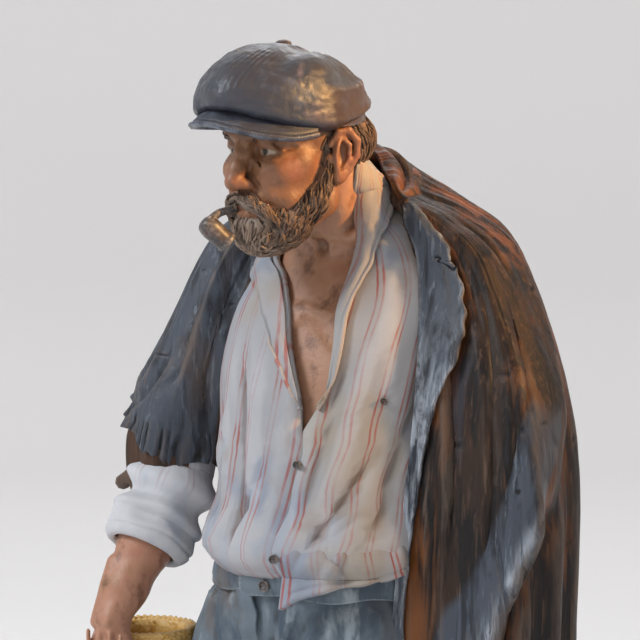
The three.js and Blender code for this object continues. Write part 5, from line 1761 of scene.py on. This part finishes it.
def locks(roots, clay, flow, length, width, lift=0.1, seed=0, steps=7, sides=4, curl=0.35):
    """Tapered strands that start at roots and follow a flow over the clay's surface."""
    n = len(roots)
    scatter = np.random.default_rng(seed)
    length = length * scatter.uniform(0.7, 1.25, n)
    width = width * scatter.uniform(0.75, 1.3, n)
    phase, bend = scatter.uniform(0, 2 * np.pi, n), scatter.normal(0, 0.22, (n, 3))
    rise = lift * scatter.uniform(0.4, 1.6, n)
    p, path, outs = np.array(roots, float), [], []
    for k in range(steps + 1):
        for _ in range(2):
            distance, out = clay.at(p)
            p = p - out * (distance - rise * np.sin(np.pi * min(k / steps + 0.15, 1)))[:, None] * 0.9
        path.append(p.copy())
        outs.append(out)
        way = flow(p) + bend + curl * np.cos(phase + 5.0 * k / steps)[:, None] * np.cross(out, flow(p))
        way -= out * np.einsum("ij,ij->i", way, out)[:, None]
        p = p + unit(way, 1e-6) * (length / steps)[:, None]
    path, outs = np.array(path), np.array(outs)
    along = unit(np.gradient(path, axis=0), 1e-6)
    across = unit(np.cross(along, outs), 1e-6)
    up = np.cross(across, along)
    t = np.linspace(0, 1, steps + 1)
    taper = (np.sin(np.pi * np.clip(t * 0.86 + 0.12, 0, 1)) ** 0.6)[:, None] * width
    angle = circle(sides)
    rings = tube(
        path, across, up, np.cos(angle) * taper[..., None], np.sin(angle) * taper[..., None] * 0.75
    )
    rings = np.swapaxes(rings, 0, 1)
    ends = np.stack([path[0], path[-1]], 1)
    points = np.concatenate([rings.reshape(n, -1, 3), ends], 1)
    one = quads(steps + 1, sides, True)
    k = np.arange(sides)
    low = np.stack([(k + 1) % sides, k, np.full(sides, (steps + 1) * sides)], -1)
    high = np.stack([
        k + steps * sides, (k + 1) % sides + steps * sides, np.full(sides, (steps + 1) * sides + 1)
    ], -1)
    shift = (np.arange(n) * points.shape[1])[:, None, None]
    form = Form(points, [
        (one + shift).reshape(-1, 4), (low + shift).reshape(-1, 3), (high + shift).reshape(-1, 3)
    ])
    # Each lock's outer side is marked as a ridge and its inner side as a hollow, so it takes a painted
    # highlight on top and painted shade underneath
    form.marks["hollow"] = np.tile(np.append(np.tile(-0.03 * np.sin(angle), steps + 1), [0, 0]), n)
    form.marks["deep"] = 0.45 * np.repeat(scatter.uniform(-1, 1, n), points.shape[1])
    return form.facing_out()


LOCK_SPACING = 0.55


def seeds(clay, count, low, high, keep, seed):
    """Points on the clay's surface, spread evenly by chance."""
    scatter = np.random.default_rng(seed)
    points = scatter.uniform(low, high, (count * 40, 3))
    distance, out = clay.at(points)
    points = points - out * distance[:, None]
    distance, out = clay.at(points)
    good = (np.abs(distance) < 0.15) & keep(points, out)
    points = points[good]
    chosen = []
    taken = set()
    for p in points:
        cell = tuple(np.floor(p / LOCK_SPACING).astype(int))
        if cell not in taken:
            taken.add(cell)
            chosen.append(p)
        if len(chosen) == count:
            break
    return np.array(chosen)


def beard_flow(p):
    side = p[:, 0] / 10
    return xyz(-0.42 * side * ramp(p[:, 2], -6, -16), -0.18 - 0.25 * ramp(p[:, 2], -10, -20), -1)


def moustache_flow(p):
    s = np.where(p[:, 0] > 0, 1.0, -1.0)
    side = np.abs(p[:, 0])
    return xyz(s * (1.0 - 0.45 * ramp(side, 2, 6)), 0.2, -0.42 - 0.8 * ramp(side, 1.5, 5))


def nape_flow(p):
    return xyz(-0.05 * p[:, 0], 0.15, -1)


def brow_flow(p):
    return xyz(np.sign(p[:, 0]), 0.3, 0.25 - 0.5 * ramp(np.abs(p[:, 0]), 4, 8))


def in_moustache(p):
    return (p[:, 1] < -10.8) & (p[:, 2] > -10.4 - 0.75 * np.abs(p[:, 0]) - 1.6) & (p[:, 2] > -16)


beard_roots = seeds(
    mass, 1150, (-14, -20, -25), (14, 2, 2.5),
    lambda p, n: (p[:, 1] < 1.5) & ~in_moustache(p) & (p[:, 2] < 1.5), 5
)
moustache_roots = seeds(
    mass, 190, (-8, -18, -16.5), (8, -10.5, -8.5), lambda p, n: in_moustache(p) & (n[:, 1] < 0.3), 6
)
nape_roots = seeds(
    mass, 420, (-14, -2, -9), (14, 19.5, 4.5), lambda p, n: (p[:, 1] > 1.8) & (p[:, 2] > -9), 7
)
hair_forms = [
    locks(beard_roots, mass, beard_flow, 4.2, 0.3, 0.25, 11),
    locks(moustache_roots, mass, moustache_flow, 3.4, 0.26, 0.2, 12),
    locks(nape_roots, mass, nape_flow, 5.5, 0.32, 0.2, 13),
]
brow_roots = []
for side in (-1, 1):
    for k in range(96):
        t = (k % 32) / 31
        brow_roots.append((
            side * mix(2.0, 8.6, t), mix(-13.4, -9.6, t**1.5),
            mix(2.4, 2.2, t) + 0.9 * math.sin(math.pi * t) + 0.5 * (k // 32)
        ))
hair_forms.append(locks(np.array(brow_roots), head, brow_flow, 1.9, 0.17, 0.12, 14, 5, 4, 0.2))
hair_mass.mark_hollows(2, 8)
whiskers = join([hair_mass, *hair_forms])
local = whiskers.points.copy()
whiskers.marks["ochre"] = np.clip(
    0.8 * ramp(local[:, 2], -12, -18) * (local[:, 1] < -4) * ramp(np.abs(local[:, 0]), 8, 3)
    + 0.3 * noise(local, 3, 141, 2),
    0, 1
)
grey = 0.75 * ramp(local[:, 2], -9, -12) * ramp(np.abs(local[:, 0]), 7, 4) * (local[:, 1] < -9)
whiskers.marks["grey"] = np.clip(grey + 0.25 * noise(local, 2.2, 140, 2), 0, 1)
whiskers.points = on_head(whiskers.points)
piece("hair_and_beard", whiskers, hair_paint)


# The flat cap: a wide soft crown over a band, a covered button and a stiff peak
CROWN = dict(y=-2.6, z=9, half_width=16.2, half_length=19.6, rise=12, sag=3.1)
BAND = dict(y=-1.2, half_width=13.6, half_length=16.6, low=4.2, high=9)


def crown_at(d):
    turn = np.arctan2(d[..., 0], -d[..., 1])
    up = np.where(
        d[..., 2] > 0, CROWN["rise"] * boxy(d[..., 2], 1.9), CROWN["sag"] * boxy(d[..., 2], 2.6)
    )
    flat = np.hypot(d[..., 0], d[..., 1]).clip(1e-4) ** np.where(d[..., 2] > 0, -0.12, -0.3)
    waves = 1 + 0.018 * np.sin(5 * turn + 0.6) + 0.012 * np.sin(9 * turn)
    droop = (
        (2.5 * np.cos(2 * turn) - 1.5) * (1 - ramp(d[..., 2], 0, 0.8))
        - 3.0 * ramp(d[..., 1], -0.3, 0.9) * ramp(d[..., 2], -0.2, 0.3)
    )
    crease = -1.1 * bell(d[..., 0] + 0.5 * d[..., 1], 0.35, 0.16) * ramp(d[..., 2], 0.2, 0.8)
    x, y = CROWN["half_width"] * d[..., 0] * flat * waves, CROWN["half_length"] * d[..., 1] * flat * waves
    return xyz(x, y + CROWN["y"], up + CROWN["z"] + droop + crease)


crown = globe(264, 136, crown_at, 0.45, 0.55)
p = crown.points.copy()
rel = p - [0, CROWN["y"], CROWN["z"]]
turn = np.arctan2(rel[:, 0], -rel[:, 1])
far = np.hypot(rel[:, 0] / CROWN["half_width"], rel[:, 1] / CROWN["half_length"])
comb = (
    np.sin(turn * far * 13 * 2 * np.pi / 0.8 + 2.2 * noise(p, 5, 151)) * bell(turn, 0.42, 0.42)
    * bell(rel[:, 2], 7.4, 3.2)
)
comb = comb * (0.6 + 0.4 * noise(p, 3, 152))
seams = 0.0
for at, sweep, strength in ((1.9, 0.9, 1.0), (-2.3, -0.4, 0.5), (-1.0, -0.3, 0.3)):
    line = np.abs(np.mod(turn - at - sweep * (far - 0.3) + np.pi, 2 * np.pi) - np.pi) * far * 16
    seams = (
        seams
        + strength * (0.3 * bell(line, 1.2, 0.9) - 0.3 * bell(line, 0, 0.5)) * ramp(far, 0.1, 0.25)
        * ramp(rel[:, 2], 1, 5)
    )
folds = (
    0.5 * bell(rel[:, 2] - 1.4 * np.sin(2 * turn + 0.6) - 3.2, 0, 0.9) * ramp(rel[:, 1], -4, 4)
    + 0.35 * noise(p, (6, 6, 3), 153, 3)
)
crown = with_relief(crown, 0.11 * comb + seams + folds + 0.09 * noise(p, 1.0, 154, 2))
# Brown low on the crown and at its back is a painted warm reflection; noise adds brown patches
crown.marks["brown"] = np.clip(
    0.9 * ramp(rel[:, 2], 3.5, 0.5) * ramp(rel[:, 1], -8, 2) + 0.9 * ramp(rel[:, 1], 9, 15)
    + 0.4 * noise(p, 5, 155, 2),
    0, 1
)


def band_surface(u, v):
    angle = 2 * np.pi * u
    z = (
        mix(BAND["high"], BAND["low"], v) + 3.4 * ramp(np.cos(angle), -0.3, 0.9) * v
        - 1.2 * np.sin(angle) ** 2 * v
    )
    return xyz(BAND["half_width"] * np.sin(angle), BAND["y"] - BAND["half_length"] * np.cos(angle), z)


def band_relief(u, v):
    angle = 2 * np.pi * u
    return 0.14 * noise(xyz(np.cos(angle) * 14, np.sin(angle) * 16, v * 6), 2, 163, 3)


# The peak: half the angle that it takes up, its radius for the ribs, and how far it hangs at each angle
PEAK_HALF, PEAK_RADIUS = 1.28, 17
PEAK_DROOP = [[-1.28, 2], [-0.6, 0.8], [0, 0], [0.35, 1.3], [0.7, 3], [1, 3.7], [1.28, 3.3]]


def peak_surface(u, v):
    turn = mix(-PEAK_HALF, PEAK_HALF, u)
    reach = v * (5.2 * np.cos(turn).clip(0) ** 0.8 + 1)
    x = (BAND["half_width"] - 0.6 + reach) * np.sin(turn)
    y = BAND["y"] - (BAND["half_length"] - 0.6 + reach) * np.cos(turn)
    droop = value_at(PEAK_DROOP, turn)
    return xyz(x, y, mix(9.0, 5.2, v**1.2) - droop * mix(0.8, 1, v))


def peak_relief(u, v):
    turn = mix(-PEAK_HALF, PEAK_HALF, u)
    q = xyz(turn * PEAK_RADIUS, v * 6, 0)
    ribs = np.sin((turn * PEAK_RADIUS + v * 6) * 2 * np.pi / 0.62 + 2.5 * noise(q, 4, 161))
    edge = 0.22 * bell(v, 0.93, 0.05) - 0.2 * bell(v, 0.84, 0.03)
    return 0.09 * ribs * ramp(v, 0.05, 0.2) * ramp(v, 1, 0.9) + edge + 0.15 * noise(q, 2.4, 162, 2)


peak = shell(peak_surface, 0.9, 360, 28, 4, peak_relief)
band = shell(band_surface, 1.2, 160, 16, 2, band_relief)
peak.marks["brown"] = 0.05 + 0.3 * np.clip(noise(peak.points, 4, 164, 2), 0, 1)
band.marks["brown"] = np.full(len(band.points), 0.8)


def top_button_at(d):
    turn = np.arctan2(d[..., 0], d[..., 1])
    top = CROWN["z"] + CROWN["rise"]
    return xyz(
        1.75 * d[..., 0] * (1 + 0.05 * np.sin(5 * turn)), 1.75 * d[..., 1] - 1.5,
        0.95 * d[..., 2] + top - 0.7
    )


top_button = globe(40, 20, top_button_at)
top_button.marks["brown"] = np.full(len(top_button.points), 0.7)
cap = join([form.mark_hollows(2, 10) for form in (crown, peak, band, top_button)])
cap.points = on_head(cap.points)
piece("cap", cap, cap_paint)


# The pipe, held upside down
PIPE_HEEL, PIPE_MOUTH = np.array([-3.5, -21.9, -14.8]), np.array([-2.2, -13.5, -12.2])
BOWL_AXIS = unit(np.array([0.35, 0.62, -0.7]))


def pipe_form():
    profile = [
        (0.3, -0.95), (0.8, -0.85), (1.25, -0.68), (1.7, -0.3), (2.0, 0.3), (2.2, 1.2), (2.25, 2),
        (2.2, 3), (2.12, 4), (2.14, 5.2), (2.3, 5.5), (2.32, 6.0), (2.2, 6.25), (1.9, 6.28),
        (1.66, 6.1), (1.6, 5.4), (1.5, 3.6), (1.35, 2.2), (0.9, 1.9), (0.3, 1.85),
    ]
    side = unit(np.cross(BOWL_AXIS, [0, 0, 1.0]))
    third = np.cross(side, BOWL_AXIS)
    angle = circle(48)
    dense = smooth_path(profile, 60)
    rings = (
        PIPE_HEEL
        + dense[:, 0][:, None, None] * (np.cos(angle)[:, None] * side + np.sin(angle)[:, None] * third)
        + dense[:, 1][:, None, None] * BOWL_AXIS
    )
    bowl = loft(on_head(rings))
    bowl = with_relief(bowl, 0.07 * noise(bowl.points, 1.4, 111, 3))
    bend = PIPE_HEEL + np.array([0.6, 3.4, 1.9])
    stem = limb([(*on_head(a), r) for a, r in (
        (PIPE_HEEL + np.array([-0.2, 0.4, -0.2]), 1.15), (mix(PIPE_HEEL, bend, 0.5), 0.92), (bend, 0.85),
        (mix(bend, PIPE_MOUTH, 0.5), 0.8), (PIPE_MOUTH, 0.85))], 24, 40)
    stem = with_relief(stem, 0.04 * noise(stem.points, 1.0, 112, 2))
    return join([bowl.mark_hollows(2, 6), stem.mark_hollows(2, 6)])


piece("pipe", pipe_form(), pipe_paint, "pipe")


# The basket, woven over and under its stakes
STAKES = 22


def basket_radius(z):
    t = (z - BASKET["bottom"]) / (BASKET["rim"] - BASKET["bottom"])
    return mix(BASKET["foot_radius"], BASKET["rim_radius"], t) + 0.9 * np.sin(np.pi * np.clip(t, 0, 1))


def round_basket(radius, turn, z):
    return xyz(BASKET["x"] + radius * np.sin(turn), BASKET["y"] - radius * np.cos(turn), z)


def ring_cord(radius, z, thick, wave=0.0, phase=0.0, tall=1.0, twist=0, lean=0.0):
    """A closed cord round the basket, whose middle goes in and out of the stakes."""
    steps, sides = STAKES * 10, 7
    turn = circle(steps)
    reach = radius + wave * np.sin(STAKES / 2 * turn + phase)
    middle = round_basket(reach, turn, z + lean * np.sin(turn + phase))
    out = xyz(np.sin(turn), -np.cos(turn), 0)
    angle = circle(sides) + 0.4
    size = thick * (1 + (0.22 * np.sin(twist * turn[:, None] + 2 * angle) if twist else 0))
    size = np.broadcast_to(size, (steps, sides))
    points = tube(middle, out, np.array([0, 0, 1.0]), np.cos(angle) * size, np.sin(angle) * size * tall)
    a, b = np.meshgrid(np.arange(steps), np.arange(sides), indexing="ij")
    here, after = a * sides, (a + 1) % steps * sides
    faces = np.stack([
        here + b, here + (b + 1) % sides, after + (b + 1) % sides, after + b
    ], -1).reshape(-1, 4)
    return Form(points, [faces]).facing_out()


def basket_form():
    bottom, rim, wall = BASKET["bottom"], BASKET["rim"], BASKET["wall"]
    angle = circle(88)
    foot = BASKET["foot_radius"]
    profile = [
        (3, bottom + 0.1), (foot - 0.9, bottom), (basket_radius(bottom + 0.5) - 0.5, bottom + 0.4),
        *((basket_radius(z) - 0.55, z) for z in np.linspace(bottom + 1.5, rim - 1, 8)),
        (basket_radius(rim) - 0.9, rim - 0.4), (basket_radius(rim) - 1.3, rim - 0.5),
        *((basket_radius(z) - wall - 0.45, z) for z in np.linspace(rim - 2, bottom + wall + 0.6, 8)),
        (foot - wall - 1, bottom + wall), (2, bottom + wall),
    ]
    forms = [loft([round_basket(radius, angle, z) for radius, z in profile])]
    rows = 11
    for row in range(rows):
        z = mix(bottom + 1.1, rim - 2.3, row / (rows - 1))
        thick = 0.62 if row % 3 else 0.68
        forms.append(ring_cord(basket_radius(z) - 0.15, z, thick, 0.42, np.pi * (row % 2), 1.22, 0, 0.12))
    for k in range(STAKES):
        turn = (k + 0.5) * 2 * np.pi / STAKES
        heights = np.linspace(bottom + 0.4, rim - 1.2, 7)
        forms.append(limb([
            (*round_basket(basket_radius(z) - 0.2, turn, z), 0.5) for z in heights
        ], 6, 16))
    for z, radius, thick, phase in (
        (rim - 1.5, 0.25, 0.8, 0.0), (rim - 0.55, 0.35, 0.75, 1.6), (rim - 1.0, -0.55, 0.75, 0.8)
    ):
        forms.append(ring_cord(basket_radius(rim) + radius, z, thick, 0.16, phase, 1.0, STAKES * 2))
    forms.append(ring_cord(foot - 0.1, bottom + 0.75, 0.72, 0.1, 0.4, 1.0, STAKES * 2))
    return join([
        with_relief(form, 0.05 * noise(form.points, 0.8, 115, 2)).mark_hollows(1, 5) for form in forms
    ])


piece("basket", basket_form(), wicker_paint, "basket")


# Floor, lights and camera
def stage_floor():
    rings = [(0, 0), (900, 0), (1250, 20), (1480, 140), (1600, 400), (1640, 900), (1640, 1900)]
    columns = 96
    angle = circle(columns)
    points = [[(r * np.sin(a), -r * np.cos(a), z - 0.05) for a in angle] for r, z in rings[1:]]
    form = Form(np.append(np.reshape(points, (-1, 3)), [[0, 0, -0.05]], axis=0), [
        quads(len(rings) - 1, columns, True),
        np.stack([
            (np.arange(columns) + 1) % columns, np.arange(columns),
            np.full(columns, columns * (len(rings) - 1))
        ], -1),
    ])
    mesh = bpy.data.meshes.new("floor")
    mesh.from_pydata((form.points / 1000).tolist(), [], [list(f) for g in form.faces for f in g.tolist()])
    mesh.polygons.foreach_set("use_smooth", np.ones(len(mesh.polygons), bool))
    floor = link("floor", mesh)
    p = Paint("floor", 0.8, 0.2)
    mesh.materials.append(p.done(p.mix(p.noise(400, 2), (246, 244, 243), (250, 248, 247))))


def aim(made, target, azimuth, elevation, distance):
    """Puts a light or camera at a distance from its target and turns it that way."""
    a, e = math.radians(azimuth), math.radians(elevation)
    back = Vector((math.sin(a) * math.cos(e), -math.cos(a) * math.cos(e), math.sin(e)))
    made.location = Vector(target) + back * distance
    made.rotation_euler = back.to_track_quat("Z", "Y").to_euler()


def area_light(name, azimuth, elevation, distance, size, power, tint, height=210, spread=180):
    light = bpy.data.lights.new(name, "AREA")
    light.shape, light.size, light.energy, light.color = "DISK", size, power, tint
    light.spread = math.radians(spread)
    aim(link(name, light), (0, 0, height / 1000), azimuth, elevation, distance)


stage_floor()
area_light("key", -30, 40, 1.45, 0.45, 13.5, (0.92, 0.96, 1.0))
area_light("warm", 108, 26, 0.9, 0.1, 0.07, (1.0, 0.55, 0.2), 254, 9)
area_light("back", 215, 42, 1.1, 0.6, 2.6, (0.95, 0.97, 1.0))
world = bpy.data.worlds.new("studio")
bpy.context.scene.world = world
world.use_nodes = True
world.node_tree.nodes["Background"].inputs[0].default_value = (0.88, 0.87, 0.87, 1)
world.node_tree.nodes["Background"].inputs[1].default_value = 0.42
bpy.context.scene.view_settings.view_transform = "Standard"

camera = bpy.data.cameras.new("camera")
camera.lens, camera.sensor_width, camera.clip_start, camera.clip_end = 150, 36, 0.01, 20
camera_object = link("camera", camera)
bpy.context.scene.camera = camera_object
VIEW_TURN, VIEW_LIFT, VIEW_SHIFT, VIEW_HEIGHT, VIEW_DISTANCE = 40, 4.5, 0.00063, 0.2227, 0.56
target = (
    VIEW_SHIFT * math.cos(math.radians(VIEW_TURN)), VIEW_SHIFT * math.sin(math.radians(VIEW_TURN)),
    VIEW_HEIGHT
)
aim(camera_object, target, VIEW_TURN, VIEW_LIFT, VIEW_DISTANCE)
